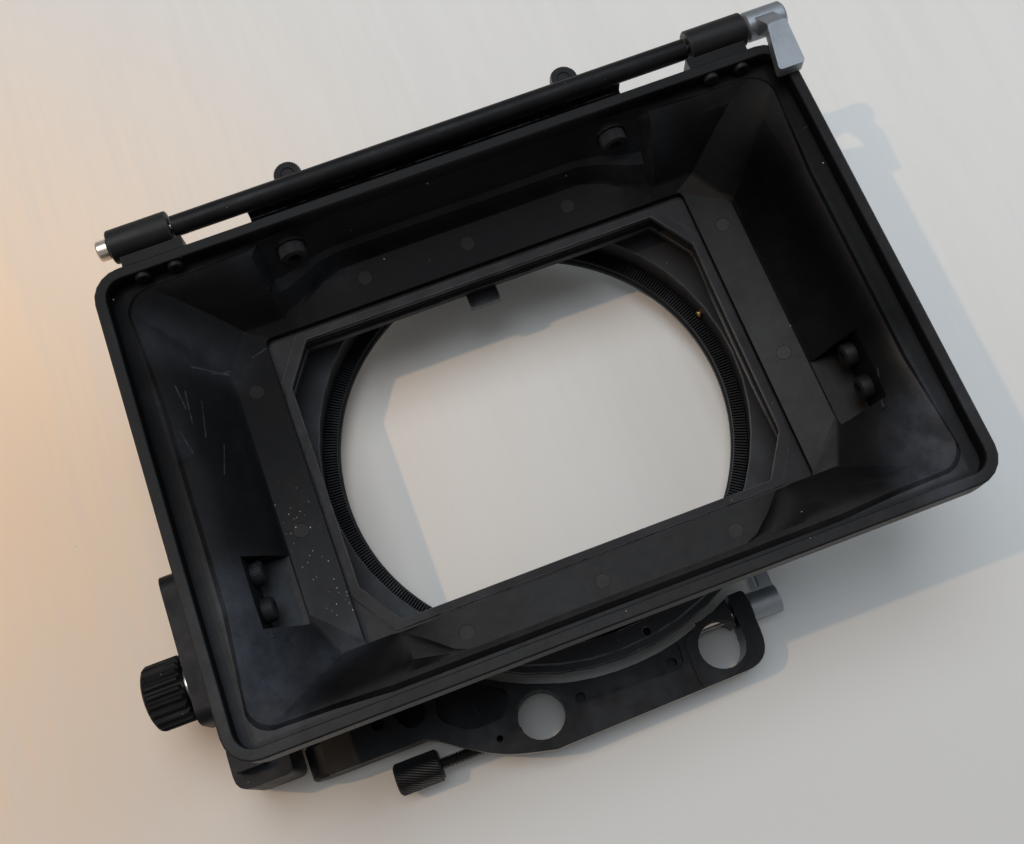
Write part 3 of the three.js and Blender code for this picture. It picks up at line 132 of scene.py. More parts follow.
class MatteBoxLook(bpy.types.PropertyGroup):
    """Colours and finish of the object."""

    plastic_dark: FloatVectorProperty(
        name="Plastic, dark", description="Darker tone of the moulded hood",
        subtype="COLOR", min=0, max=1, default=(0.0026, 0.0026, 0.003))
    plastic_light: FloatVectorProperty(
        name="Plastic, light", description="Lighter, rubbed tone of the moulded hood",
        subtype="COLOR", min=0, max=1, default=(0.0062, 0.0063, 0.0068))
    # Also the colour of the painted sheen and highlight on the hood
    dust_and_sheen: FloatVectorProperty(
        name="Dust", description="Colour of the dust and fine scratches",
        subtype="COLOR", min=0, max=1, default=(0.17, 0.158, 0.15))
    wear: FloatProperty(
        name="Wear", description="How far the edges are rubbed bright",
        subtype="FACTOR", min=0, max=1, default=0.5)
    grain: FloatProperty(
        name="Grain depth", description="Depth of the fine moulded grain",
        subtype="DISTANCE", unit="LENGTH", min=0, max=0.001, default=0.00004)


class MatteBoxDetail(bpy.types.PropertyGroup):
    """Sizes of the details that are modelled here."""

    edge: FloatProperty(
        name="Edge rounding", description="Radius on the moulded edges",
        subtype="DISTANCE", unit="LENGTH", min=0, max=0.002, default=0.0006)
    machined_edge: FloatProperty(
        name="Machined edge", description="Small break on machined edges",
        subtype="DISTANCE", unit="LENGTH", min=0, max=0.002, default=0.0003)
    ring_ribs: IntProperty(
        name="Ring ribs", description="Fine ribs round the rotating ring",
        min=100, max=600, default=450)
    knurls: IntProperty(
        name="Knurls", description="Ridges round a knurled head",
        min=12, max=90, default=34)
    thread_pitch: FloatProperty(
        name="Thread pitch", description="Pitch of the screw threads",
        subtype="DISTANCE", unit="LENGTH", min=0.0003, max=0.002, default=0.0008)


class MatteBoxStage(bpy.types.PropertyGroup):
    """Light and floor."""

    # The warm side is a painted pool of warm light on the floor
    warm_light_on_floor: FloatVectorProperty(
        name="Floor, warm side", description="Colour of the floor at the left",
        subtype="COLOR", min=0, max=1, default=(0.86, 0.62, 0.42))
    floor_cool: FloatVectorProperty(
        name="Floor, cool side", description="Colour of the floor at the right",
        subtype="COLOR", min=0, max=1, default=(0.682, 0.668, 0.64))
    key_power: FloatProperty(
        name="Key light", description="Power of the small main light",
        unit="POWER", min=0, max=100, default=6.8)
    overhead_power: FloatProperty(
        name="Overhead light", description="Power of the large soft light in front",
        unit="POWER", min=0, max=200, default=27.0)
    window_power: FloatProperty(
        name="Window light", description="Power of the soft lights from the right and from behind",
        unit="POWER", min=0, max=100, default=6.0)
    ambient: FloatProperty(
        name="Ambient", description="Strength of the even light from all round",
        min=0, max=2, default=0.29)


# Materials

class Graph:
    """A material and short names for the nodes that it is made of."""

    def __init__(self, name):
        self.material = bpy.data.materials.new(name)
        self.material.use_nodes = True
        self.tree = self.material.node_tree
        self.tree.nodes.clear()
        self.shader = self.tree.nodes.new("ShaderNodeBsdfPrincipled")
        self.out = self.tree.nodes.new("ShaderNodeOutputMaterial")
        self.tree.links.new(self.shader.outputs[0], self.out.inputs["Surface"])
        self.place = self.tree.nodes.new("ShaderNodeTexCoord").outputs["Object"]

    def fill(self, socket, value):
        if isinstance(value, bpy.types.NodeSocket):
            self.tree.links.new(value, socket)
        elif value is not None:
            if hasattr(value, "__len__") and socket.type == "RGBA" and len(value) == 3:
                value = (*value, 1)
            socket.default_value = value

    def set(self, **values):
        """Sets the shader's own sockets; an underscore stands for a space."""
        for name, value in values.items():
            self.fill(self.shader.inputs[name.replace("_", " ")], value)

    def calc(self, operation, a, b=None, c=None):
        node = self.tree.nodes.new("ShaderNodeMath")
        node.operation = operation
        for socket, value in zip(node.inputs, (a, b, c)):
            self.fill(socket, value)
        return node.outputs[0]

    def times(self, *values):
        """The product of the values."""
        return reduce(lambda a, b: self.calc("MULTIPLY", a, b), values)

    def highest(self, *values):
        return reduce(lambda a, b: self.calc("MAXIMUM", a, b), values)

    def vector(self, operation, a, b):
        node = self.tree.nodes.new("ShaderNodeVectorMath")
        node.operation = operation
        self.fill(node.inputs[0], a)
        self.fill(node.inputs[1], b)
        return node.outputs["Value" if operation == "DISTANCE" else "Vector"]

    def axis(self, name):
        node = self.tree.nodes.new("ShaderNodeSeparateXYZ")
        self.fill(node.inputs[0], self.place)
        return node.outputs[name]

    def past(self, name, low, high, *ends):
        """Smooth change between two places on an axis, in mm: from 0 to 1 or between the ends."""
        return self.step(self.axis(name), low * MM, high * MM, *ends)

    def noise(self, scale, detail, rough, stretch=None, twist=0):
        node = self.tree.nodes.new("ShaderNodeTexNoise")
        node.inputs["Scale"].default_value = scale
        node.inputs["Detail"].default_value = detail
        node.inputs["Roughness"].default_value = rough
        node.inputs["Distortion"].default_value = twist
        place = self.place if stretch is None else self.vector("MULTIPLY", self.place, stretch)
        self.fill(node.inputs["Vector"], place)
        return node.outputs["Fac"]

    def cells(self, scale, out="Distance"):
        node = self.tree.nodes.new("ShaderNodeTexVoronoi")
        node.inputs["Scale"].default_value = scale
        self.fill(node.inputs["Vector"], self.place)
        return node.outputs[out]

    def step(self, value, low, high, to_low=0.0, to_high=1.0):
        """Smooth change from one value to another between low and high."""
        node = self.tree.nodes.new("ShaderNodeMapRange")
        node.interpolation_type = "SMOOTHSTEP"
        for socket, number in zip(node.inputs, (value, low, high, to_low, to_high)):
            self.fill(socket, number)
        return node.outputs[0]

    def mix(self, share, a, b):
        node = self.tree.nodes.new("ShaderNodeMix")
        node.data_type = "RGBA"
        self.fill(node.inputs[0], share)
        self.fill(node.inputs[6], a)
        self.fill(node.inputs[7], b)
        return node.outputs[2]

    def tint(self, colour, tone, *masks):
        """Lays a tone over a colour, as far as the product of the masks goes."""
        return self.mix(self.times(*masks), colour, tone)

    def facing(self, axis, low, high):
        """How far a face looks along the negative side of an axis."""
        normal = self.tree.nodes.new("ShaderNodeTexCoord").outputs["Normal"]
        parts = self.tree.nodes.new("ShaderNodeSeparateXYZ")
        self.fill(parts.inputs[0], normal)
        return self.step(self.times(parts.outputs[axis], -1), low, high)

    def worn(self, keep):
        """Where edges are rubbed: the rounded faces, broken up by noise."""
        node = self.tree.nodes.new("ShaderNodeAttribute")
        node.attribute_name = "worn"
        middle, soft = 1 - keep, 0.12
        patch = self.step(self.noise(140, 4, 0.7), middle - soft, middle + soft)
        return self.times(node.outputs["Fac"], patch)

    def scratches(self, scale, stretch, width, sparse):
        """Thin lines along one direction, cut into short bits by a mask."""
        line = self.noise(scale, 1, 0.4, stretch, 0.2)
        line = self.step(self.calc("ABSOLUTE", self.calc("SUBTRACT", line, 0.5)), 0, width, 1, 0)
        mask = self.step(self.noise(scale * 0.7, 3, 0.6), sparse, sparse + 0.06)
        return self.times(line, mask)

    def streak(self, start, end, width, fade=1.0):
        """A line from start to end in X and Z, mm, that fades to nothing at width from it."""
        x0, z0, x1, z1, width = (value * MM for value in (*start, *end, width))
        length = math.hypot(x1 - x0, z1 - z0)
        along_x, along_z = (x1 - x0) / length, (z1 - z0) / length
        x = self.calc("SUBTRACT", self.axis("X"), x0)
        z = self.calc("SUBTRACT", self.axis("Z"), z0)
        way = self.calc("ADD", self.times(x, along_x), self.times(z, along_z))
        off = self.calc("SUBTRACT", self.times(x, along_z), self.times(z, along_x))
        past_end = self.calc("SUBTRACT", way, self.calc("MINIMUM", self.highest(way, 0.0), length))
        away = self.calc("ADD", self.times(past_end, past_end), self.times(off, off))
        return self.step(self.calc("POWER", away, 0.5), width * (1 - fade), width, 1, 0)

    def specks(self, scale, share, size):
        """Sparse round specks: only cells whose random number is high hold one."""
        chosen = self.tree.nodes.new("ShaderNodeSeparateColor")
        self.fill(chosen.inputs[0], self.cells(scale, "Color"))
        pick = self.calc("GREATER_THAN", chosen.outputs[0], 1 - share)
        spot = self.step(self.cells(scale), size * 0.6, size, 1, 0)
        return self.times(pick, spot)

    def bump(self, height, depth, strength, normal=None):
        node = self.tree.nodes.new("ShaderNodeBump")
        node.inputs["Strength"].default_value = strength
        node.inputs["Distance"].default_value = depth
        self.fill(node.inputs["Height"], height)
        self.fill(node.inputs["Normal"], normal)
        return node.outputs[0]


def painted_sheen(g):
    """Painted bluish sheen on the hood's walls, in soft patches like films of dust, broken up by noise.
    """
    films = [g.times(g.streak(start, end, width), share) for start, end, width, share in SHEEN_PATCHES]
    return g.times(g.highest(*films), g.step(g.noise(130, 5, 0.7), 0.3, 0.7, 0.45, 1))


def wall_scratches(g):
    """The scratches at known places in the hood, broken up by noise."""
    marks = [g.streak(*scratch) for scratch in SCRATCHES]
    return g.times(g.highest(*marks), g.step(g.noise(700, 3, 0.7), 0.35, 0.6, 0.25, 1))


def pin_marks(g):
    """Round marks of the mould's pins, on the facets round the opening."""
    here = g.tree.nodes.new("ShaderNodeCombineXYZ")
    g.fill(here.inputs[0], g.axis("X"))
    g.fill(here.inputs[2], g.axis("Z"))
    away = [g.vector("DISTANCE", here.outputs[0], (x * MM, 0, z * MM)) for x, z in PIN_MARKS]
    nearest = reduce(lambda a, b: g.calc("MINIMUM", a, b), away)
    near = g.times(g.calc("GREATER_THAN", g.axis("Y"), PIN_MARK_FROM * MM),
                   g.calc("LESS_THAN", g.axis("Y"), PIN_MARK_TO * MM))
    return g.times(g.step(nearest, 2.1 * MM, 2.4 * MM, 1, 0), near)


def channel_shade(g):
    """Where painted shade darkens the floor of the channel between the hood's rim and its inner border.
    """
    out_x = g.calc("SUBTRACT", g.calc("ABSOLUTE", g.axis("X")), CHANNEL_AT[0] * MM)
    from_axis = g.calc("ABSOLUTE", g.calc("SUBTRACT", g.axis("Z"), OPTICS_Z))
    out_z = g.calc("SUBTRACT", from_axis, CHANNEL_AT[1] * MM)
    return g.times(g.step(g.highest(out_x, out_z), 0, 1.2 * MM),
                   g.past("Y", CHANNEL_FROM, CHANNEL_FROM + 1))


def moulded_material(look):
    """Charcoal plastic: mottled, finely grained, dusty, with pin marks and light scratches, and with
    painted sheen, highlight and shade.
    """
    g = Graph("moulded_plastic")
    dust_and_sheen = tuple(look.dust_and_sheen)
    broad = g.step(g.noise(20, 4, 0.6), 0.3, 0.72)
    cloud = g.step(g.noise(75, 5, 0.7, twist=0.4), 0.45, 0.75)
    to_front = g.facing("Y", 0.72, 0.97)
    inner_side = g.facing("Y", 0.02, 0.12)
    inside = g.past("Y", -71.2, -70.4)
    flag_block = g.past("Z", 160.5, 162)
    shade = g.streak(*SHADED)
    # Painted light: a ramp that rises towards the bottom and the right of the hood, where more light
    # falls
    lower = g.step(g.calc("SUBTRACT", g.times(g.axis("X"), 0.3), g.axis("Z")), -0.14, -0.05)
    patchy = g.step(g.noise(260, 5, 0.75), 0.25, 0.7, 0.4, 1)
    disc = pin_marks(g)
    # Painted highlight on the downward faces at the hood's bottom
    lit_underside = g.times(g.facing("Z", 0.7, 0.95), g.past("Z", 11.2, 12.5, 1, 0))
    scratch = g.highest(g.scratches(34, (1, 1, 0.12), 0.0018, 0.63),
                        g.scratches(46, (0.16, 1, 1), 0.0016, 0.65))
    crumbs = g.times(g.highest(g.specks(520, 0.22, 0.14), g.specks(900, 0.3, 0.17)),
                     g.streak(*DUSTY, 0.8))

    colour = g.mix(broad, tuple(look.plastic_dark), tuple(look.plastic_light))
    colour = g.tint(colour, dust_and_sheen, cloud, 0.02)
    # Dust on the front-facing faces, with painted light adding more of it towards the bottom and right
    colour = g.tint(colour, dust_and_sheen, to_front, patchy, g.calc("MULTIPLY_ADD", lower, 0.05, 0.012))
    # Painted bluish sheen on the inner walls
    colour = g.tint(colour, SHEEN_TONE, painted_sheen(g), inner_side)
    colour = g.tint(colour, SHADE_TONE, shade, 0.75)
    colour = g.tint(colour, dust_and_sheen, disc, 0.05)
    # Painted shade in the channel inside the rim
    colour = g.tint(colour, CHANNEL_SHADE_TONE, channel_shade(g), 0.65)
    # Painted highlight on the hood's bottom outer face
    colour = g.tint(colour, dust_and_sheen, lit_underside, 0.35)
    colour = g.tint(colour, dust_and_sheen, scratch, 0.16)
    colour = g.tint(colour, SCRATCH_TONE, wall_scratches(g), inner_side, 0.15)
    colour = g.tint(colour, CRUMB_TONE, g.highest(g.specks(300, 0.03, 0.09), crumbs), 0.7)
    colour = g.tint(colour, RUBBED_PLASTIC, g.worn(0.6), look.wear, 0.6)
    colour = g.tint(colour, dust_and_sheen, flag_block, 0.02)

    # The specular level follows the same ramp of painted light and drops in the painted shade on the
    # right wall
    sheen = g.times(to_front, g.calc("SUBTRACT", g.times(lower, inside), 0.6))
    sheen = g.calc("MULTIPLY_ADD", sheen, 0.13, 0.115)
    sheen = g.calc("ADD", sheen, g.calc("MULTIPLY_ADD", inside, -0.09, 0.09))
    sheen = g.calc("MULTIPLY_ADD", flag_block, 0.1, sheen)
    sheen = g.times(sheen, g.calc("MULTIPLY_ADD", shade, -0.75, 1))
    rough = g.calc("ADD", g.times(broad, 0.12), g.times(cloud, 0.10))
    rough = g.calc("ADD", rough, 0.42)
    normal = g.bump(g.noise(2300, 2, 0.6), look.grain, 0.8)
    normal = g.bump(g.noise(300, 3, 0.6), look.grain, 0.5, normal)
    normal = g.bump(disc, 0.0002, 0.6, normal)
    normal = g.bump(scratch, -0.00005, 0.6, normal)
    g.set(Base_Color=colour, Roughness=rough, Normal=normal, Specular_IOR_Level=sheen)
    return g.material


def matte_material(name, dark, light, roughness, look, grain, spec, marks=0.35):
    """Even matte black: paint or plastic with faint clouds, fine grain and dust."""
    g = Graph(name)
    broad = g.step(g.noise(30, 4, 0.6), 0.3, 0.7)
    colour = g.mix(broad, dark, light)
    scratch = g.scratches(60, (0.14, 1, 1), 0.002, 0.64)
    colour = g.tint(colour, tuple(look.dust_and_sheen), scratch, marks)
    colour = g.tint(colour, SPECK_ON_PAINT, g.specks(420, 0.05, 0.1), 0.6)
    colour = g.tint(colour, RUBBED_PAINT, g.worn(0.55), look.wear, 0.5)
    rough = g.step(g.noise(90, 3, 0.6), 0.3, 0.7, roughness - 0.06, roughness + 0.08)
    normal = g.bump(g.noise(grain, 2, 0.5), 0.00003, 0.8)
    g.set(Base_Color=colour, Roughness=rough, Normal=normal, Specular_IOR_Level=spec)
    return g.material


def anodised_material(name, dark, light, roughness, look, metallic=0.55):
    """Black treated metal whose rounded edges are rubbed down to the bare metal, with painted warm
    light on its undersides near the bottom.
    """
    g = Graph(name)
    broad = g.step(g.noise(45, 4, 0.6), 0.3, 0.7)
    colour = g.mix(broad, dark, light)
    scratch = g.highest(g.scratches(80, (1, 1, 0.1), 0.0018, 0.65),
                        g.scratches(90, (0.12, 1, 1), 0.0018, 0.66))
    colour = g.tint(colour, BARE_METAL, scratch, 0.12)
    colour = g.tint(colour, BARE_METAL, g.worn(0.46), look.wear)
    # Painted warm light on the downward faces near the bottom, as bounced from the floor
    lit_underside = g.times(g.facing("Z", 0.5, 0.9), g.past("Z", 3, 7, 1, 0), g.past("X", -82, -70))
    colour = g.tint(colour, UNDERSIDE_LIGHT_TONE, lit_underside, 0.6)
    colour = g.tint(colour, SPECK_ON_METAL, g.specks(500, 0.05, 0.09), 0.5)
    rough = g.step(g.noise(120, 3, 0.6), 0.3, 0.7, roughness - 0.05, roughness + 0.08)
    normal = g.bump(g.noise(1900, 2, 0.5), 0.00002, 0.7)
    normal = g.bump(scratch, -0.00004, 0.5, normal)
    g.set(Base_Color=colour, Roughness=rough, Normal=normal, Metallic=metallic,
          Specular_IOR_Level=0.17)
    return g.material


def metal_material(name, colour, stain, roughness, turned=None):
    """Bare metal with faint stains, and turning marks when a stretch is given."""
    g = Graph(name)
    cloud = g.step(g.noise(110, 5, 0.65), 0.42, 0.72)
    tone = g.tint(colour, stain, cloud, 0.5)
    rough = g.step(g.noise(260, 3, 0.6), 0.3, 0.7, roughness - 0.05, roughness + 0.09)
    grain = g.noise(2400, 2, 0.5) if turned is None else g.noise(500, 2, 0.5, turned)
    scratch = g.scratches(120, (0.2, 1, 1), 0.006, 0.56)
    normal = g.bump(grain, 0.00003, 0.7)
    normal = g.bump(scratch, -0.00004, 0.5, normal)
    g.set(Base_Color=tone, Roughness=rough, Normal=normal, Metallic=1.0)
    return g.material


def board_material(stage):
    """Pale fibrous board with a painted pool of warm light at its upper left and painted shade towards
    the bottom, clear from behind and to shadows.
    """
    g = Graph("floor_board")
    # Painted pool of warm light on the floor at its upper left
    from_warm_light = g.vector("DISTANCE", g.place, (-0.24, 0, 0.15))
    colour = g.mix(g.step(from_warm_light, 0.04, 0.28), tuple(stage.warm_light_on_floor), tuple(stage.floor_cool))
    # Painted shade: the board darker towards the bottom
    low = g.calc("ADD", g.axis("Z"), g.times(g.axis("X"), 0.25))
    colour = g.tint(colour, (0.2, 0.19, 0.18), g.step(low, -0.06, 0.2, 0.26, 0))
    fibre = g.noise(220, 4, 0.6, (1, 1, 0.06))
    colour = g.tint(colour, (0.57, 0.55, 0.53), g.step(fibre, 0.35, 0.7, 0, 0.16))
    brush = g.step(g.noise(60, 5, 0.7, (1, 1, 0.15), 0.3), 0.4, 0.75, 0, 0.12)
    colour = g.tint(colour, (0.56, 0.56, 0.57), brush)
    colour = g.tint(colour, (0.4, 0.35, 0.3), g.specks(70, 0.04, 0.03), 0.5)
    g.set(Base_Color=colour, Roughness=0.55, Specular_IOR_Level=0.25,
          Normal=g.bump(fibre, 0.0002, 0.35))
    clear = g.tree.nodes.new("ShaderNodeBsdfTransparent")
    blend = g.tree.nodes.new("ShaderNodeMixShader")
    behind = g.tree.nodes.new("ShaderNodeNewGeometry").outputs["Backfacing"]
    shadow = g.tree.nodes.new("ShaderNodeLightPath").outputs["Is Shadow Ray"]
    g.fill(blend.inputs[0], g.highest(behind, shadow))
    g.fill(blend.inputs[1], g.shader.outputs[0])
    g.fill(blend.inputs[2], clear.outputs[0])
    g.fill(g.out.inputs["Surface"], blend.outputs[0])
    return g.material


# The materials made so far, by slot
MADE = {}


def surface(slot):
    """The material of one of the record's slots, made once."""
    if slot not in MADE:
        look = bpy.context.scene.matte_box_look
        MADE[slot] = {
            "moulded": lambda: moulded_material(look),
            "frame_metal": lambda: matte_material(
                "frame_paint", (0.012, 0.0115, 0.0125), (0.018, 0.0175, 0.019), 0.55, look, 1500, 0.15),
            "housing": lambda: matte_material(
                "housing_black", (0.015, 0.015, 0.0165), (0.022, 0.022, 0.024), 0.52, look, 1700, 0.2),
            "clip_plastic": lambda: matte_material(
                "clip_black", (0.006, 0.006, 0.007), (0.01, 0.01, 0.011), 0.28, look, 2600, 0.5, 0.15),
            "black_anodised": lambda: anodised_material(
                "black_anodised", (0.009, 0.009, 0.0098), (0.015, 0.015, 0.016), 0.47, look),
            "black_steel": lambda: anodised_material(
                "black_steel", (0.008, 0.008, 0.009), (0.014, 0.014, 0.0155), 0.5, look, 0.25),
            "knob_plastic": lambda: matte_material(
                "knob_black", (0.005, 0.005, 0.0055), (0.01, 0.01, 0.0105), 0.48, look, 2600, 0.1, 0.2),
            "satin_metal": lambda: metal_material(
                "satin_silver", (0.3, 0.318, 0.34), (0.22, 0.235, 0.255), 0.5),
            "bright_steel": lambda: metal_material(
                "bright_steel", (0.78, 0.7, 0.6), (0.5, 0.44, 0.37), 0.3, (0.1, 1, 1)),
            "brass": lambda: metal_material(
                "brass", (0.68, 0.48, 0.2), (0.42, 0.28, 0.11), 0.3, (1, 1, 1)),
        }[slot]()
    return MADE[slot]


# Modelling

def deselect():
    bpy.ops.object.select_all(action="DESELECT")


def choose(obj):
    """Makes obj the only selected and active object."""
    deselect()
    obj.select_set(True)
    bpy.context.view_layer.objects.active = obj
    return obj


def edit(obj, pick=None, kind="VERT"):
    """Enters edit mode on obj with what pick accepts selected; pick gets a vertex, edge or face."""
    choose(obj)
    bpy.ops.object.mode_set(mode="EDIT")
    bpy.ops.mesh.select_mode(type=kind)
    bpy.ops.mesh.select_all(action="SELECT" if pick is None else "DESELECT")
    if pick is not None:
        bpy.ops.object.mode_set(mode="OBJECT")
        parts = {"VERT": obj.data.vertices, "EDGE": obj.data.edges, "FACE": obj.data.polygons}[kind]
        for part in parts:
            part.select = bool(pick(part))
        bpy.ops.object.mode_set(mode="EDIT")


def leave():
    bpy.ops.object.mode_set(mode="OBJECT")


def modify(obj, kind, **values):
    """Adds a modifier, sets it and applies it."""
    choose(obj)
    bpy.ops.object.modifier_add(type=kind)
    modifier = obj.modifiers[-1]
    for name, value in values.items():
        setattr(modifier, name, value)
    bpy.ops.object.modifier_apply(modifier=modifier.name)


def carve(obj, other, operation):
    """Boolean of two closed meshes; the second one is used up."""
    modify(obj, "BOOLEAN", operation=operation, object=other, solver="EXACT")
    bpy.data.objects.remove(other)
    return obj


def tidy(obj, angle):
    """Merges doubles, turns faces outward and smooths what isn't a real edge."""
    edit(obj)
    bpy.ops.mesh.remove_doubles(threshold=MERGE)
    bpy.ops.mesh.normals_make_consistent(inside=False)
    leave()
    bpy.ops.object.shade_smooth_by_angle(angle=math.radians(angle))


def mark_worn(obj, marks):
    """Stores how far each face wears, for the materials to read."""
    obj.data.attributes.new("worn", "FLOAT", "FACE").data.foreach_set("value", marks)


def soften(obj, width, angle, segments):
    """Rounds the edges by a bevel, and marks the rounded faces as those that wear."""
    obj.data.materials.clear()
    for _ in range(2):
        obj.data.materials.append(bpy.data.materials.new("plain"))
    modify(obj, "BEVEL", width=width, segments=segments, limit_method="ANGLE",
           angle_limit=math.radians(angle), material=1, use_clamp_overlap=True,
           miter_outer="MITER_SHARP", harden_normals=False)
    marks = [float(face.material_index == 1) for face in obj.data.polygons]
    for face in obj.data.polygons:
        face.material_index = 0
    mark_worn(obj, marks)
    old = list(obj.data.materials)
    obj.data.materials.clear()
    for material in old:
        if material.users == 0:
            bpy.data.materials.remove(material)


def finish_piece(obj, name, slot, body, *nodes, angle=35, level=False):
    """Names a piece, gives it its finish and puts it in the place of its CAD nodes."""
    choose(obj)
    bpy.ops.object.transform_apply(location=True, rotation=True, scale=True)
    tidy(obj, angle)
    if level:
        modify(obj, "WEIGHTED_NORMAL", mode="FACE_AREA", weight=50, keep_sharp=True)
    obj.name = name
    obj.data.name = name
    obj.data.materials.clear()
    obj.data.materials.append(surface(slot))
    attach(obj, body)
    if nodes:
        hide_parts(*nodes)
    return obj


def dressed(node, width, angle=32, segments=2, flat=0.6):
    """A copy of a CAD node with its facets merged and its edges rounded, in the node's place."""
    source = frame["nodes"][node]
    obj = bpy.data.objects.new(node + "_dressed", source.data.copy())
    bpy.context.scene.collection.objects.link(obj)
    edit(obj)
    bpy.ops.mesh.remove_doubles(threshold=MERGE)
    bpy.ops.mesh.dissolve_limited(angle_limit=math.radians(flat))
    leave()
    soften(obj, width, angle, segments)
    return finish_piece(obj, node + "_dressed", SLOT_OF[node], BODY_OF[node], node, level=True)


def aim(obj, place, axis):
    """Moves an object that was made along Z so that it lies along axis at place."""
    turn = Vector((0, 0, 1)).rotation_difference(Vector(axis)).to_matrix().to_4x4()
    obj.matrix_world = Matrix.Translation(Vector(place)) @ turn @ obj.matrix_world
    choose(obj)
    bpy.ops.object.transform_apply(location=True, rotation=True, scale=True)
    return obj


def outline(points):
    """An open chain of edges through (radius, height) points, drawn by extruding one vertex."""
    deselect()
    r, h = points[0]
    bpy.ops.mesh.primitive_plane_add(size=1e-4, location=(r, 0, h))
    obj = bpy.context.object
    bpy.ops.object.transform_apply(location=True)
    edit(obj)
    bpy.ops.mesh.merge(type="CENTER")
    for (r0, h0), (r1, h1) in zip(points, points[1:]):
        bpy.ops.mesh.extrude_region_move(TRANSFORM_OT_translate={"value": (r1 - r0, 0, h1 - h0)})
    leave()
    return obj


def turned(points, steps):
    """A turned piece about Z from (radius, height) points."""
    obj = outline(points)
    edit(obj)
    bpy.ops.mesh.spin(steps=steps, angle=math.tau, center=(0, 0, 0), axis=(0, 0, 1))
    bpy.ops.mesh.select_all(action="SELECT")
    bpy.ops.mesh.remove_doubles(threshold=MERGE_NEW)
    bpy.ops.mesh.normals_make_consistent(inside=False)
    leave()
    return obj


def rod(radius, low, high, edge):
    """(radius, height) points of a plain round bar with chamfered ends."""
    return [(0, low), (radius - edge, low), (radius, low + edge),
            (radius, high - edge), (radius - edge, high), (0, high)]


def ridged(radius, low, high, count, share, twist=0, cuts=0):
    """A bar about Z with count even ridges; share is how deep they go, twist turns one end."""
    deselect()
    bpy.ops.mesh.primitive_cylinder_add(vertices=count * 4, radius=radius, depth=high - low,
                                        location=(0, 0, (low + high) / 2))
    obj = bpy.context.object
    bpy.ops.object.transform_apply(location=True)
    turn = math.tau / count

    def in_groove(vertex):
        angle = (math.atan2(vertex.co.y, vertex.co.x) + math.tau + turn / 8) % turn
        return angle > turn / 2

    edit(obj, in_groove)
    bpy.ops.transform.resize(value=(share, share, 1), center_override=(0, 0, 0))
    for i in range(cuts):
        bpy.ops.mesh.select_all(action="SELECT")
        height = low + (high - low) * (i + 1) / (cuts + 1)
        bpy.ops.mesh.bisect(plane_co=(0, 0, height), plane_no=(0, 0, 1))
    leave()
    if twist:
        modify(obj, "SIMPLE_DEFORM", deform_method="TWIST", deform_axis="Z", angle=twist)
    return obj


def trimmed(obj, points, steps):
    """Cuts obj down to the turned shape of (radius, height) points."""
    return carve(obj, turned(points, steps), "INTERSECT")


def threaded(radius, pitch, low, high, steps=20):
    """A screw thread about Z, closed at both ends."""
    root = radius - pitch * 0.55
    turns = math.ceil((high - low) / pitch) + 2
    start = low - pitch
    obj = outline([(radius, start), (radius, start + pitch * 0.15), (root, start + pitch * 0.5),
                   (root, start + pitch * 0.65), (radius, start + pitch)])
    modify(obj, "SCREW", angle=math.tau, screw_offset=pitch, iterations=turns, steps=steps,
           render_steps=steps, axis="Z", use_merge_vertices=True, merge_threshold=MERGE_NEW)
    for height, side in ((low, -1), (high, 1)):
        edit(obj)
        bpy.ops.mesh.bisect(plane_co=(0, 0, height), plane_no=(0, 0, side), clear_outer=True,
                            use_fill=True)
        leave()
    return obj


def merged(*objs):
    """Joins objects into the first one."""
    deselect()
    for obj in objs:
        obj.select_set(True)
    bpy.context.view_layer.objects.active = objs[0]
    bpy.ops.object.join()
    return objs[0]


def cylinder_of(node, axis):
    """Centre line of a round CAD node: its start and end as axis runs, and its radius."""
    low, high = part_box(node)
    middle = (low + high) / 2
    i = [abs(a) for a in axis].index(1)
    start, end = middle.copy(), middle.copy()
    start[i], end[i] = low[i], high[i]
    radius = max((high[j] - low[j]) / 2 for j in range(3) if j != i)
    return (start, end, radius) if axis[i] > 0 else (end, start, radius)


def socket_screw(node, axis, share=0.955, crown=0.14):
    """A cap screw whose socket looks along axis: knurled side, rounded rim, six-sided socket."""
    start, end, radius = cylinder_of(node, axis)
    height = (end - start).length
    obj = ridged(radius, 0, height, 30, share)
    rim = [(1.02, 1 - crown), (0.97, 1 - crown * 0.5), (1 - crown * 0.6, 1 - crown * 0.15),
           (1 - crown, 1)]
    below = -0.1 * MM
    trimmed(obj, [(0, below), (radius * 1.02, below),
                  *((radius * r, height * h) for r, h in rim), (0, height)], 60)
    deselect()
    bpy.ops.mesh.primitive_cylinder_add(vertices=6, radius=radius * 0.56, depth=height,
                                        location=(0, 0, height * 0.95))
    socket = bpy.context.object
    bpy.ops.object.transform_apply(location=True)
    carve(obj, socket, "DIFFERENCE")
    aim(obj, start, axis)
    return finish_piece(obj, node + "_detail", SLOT_OF[node], BODY_OF[node], node, angle=30)


# Operators

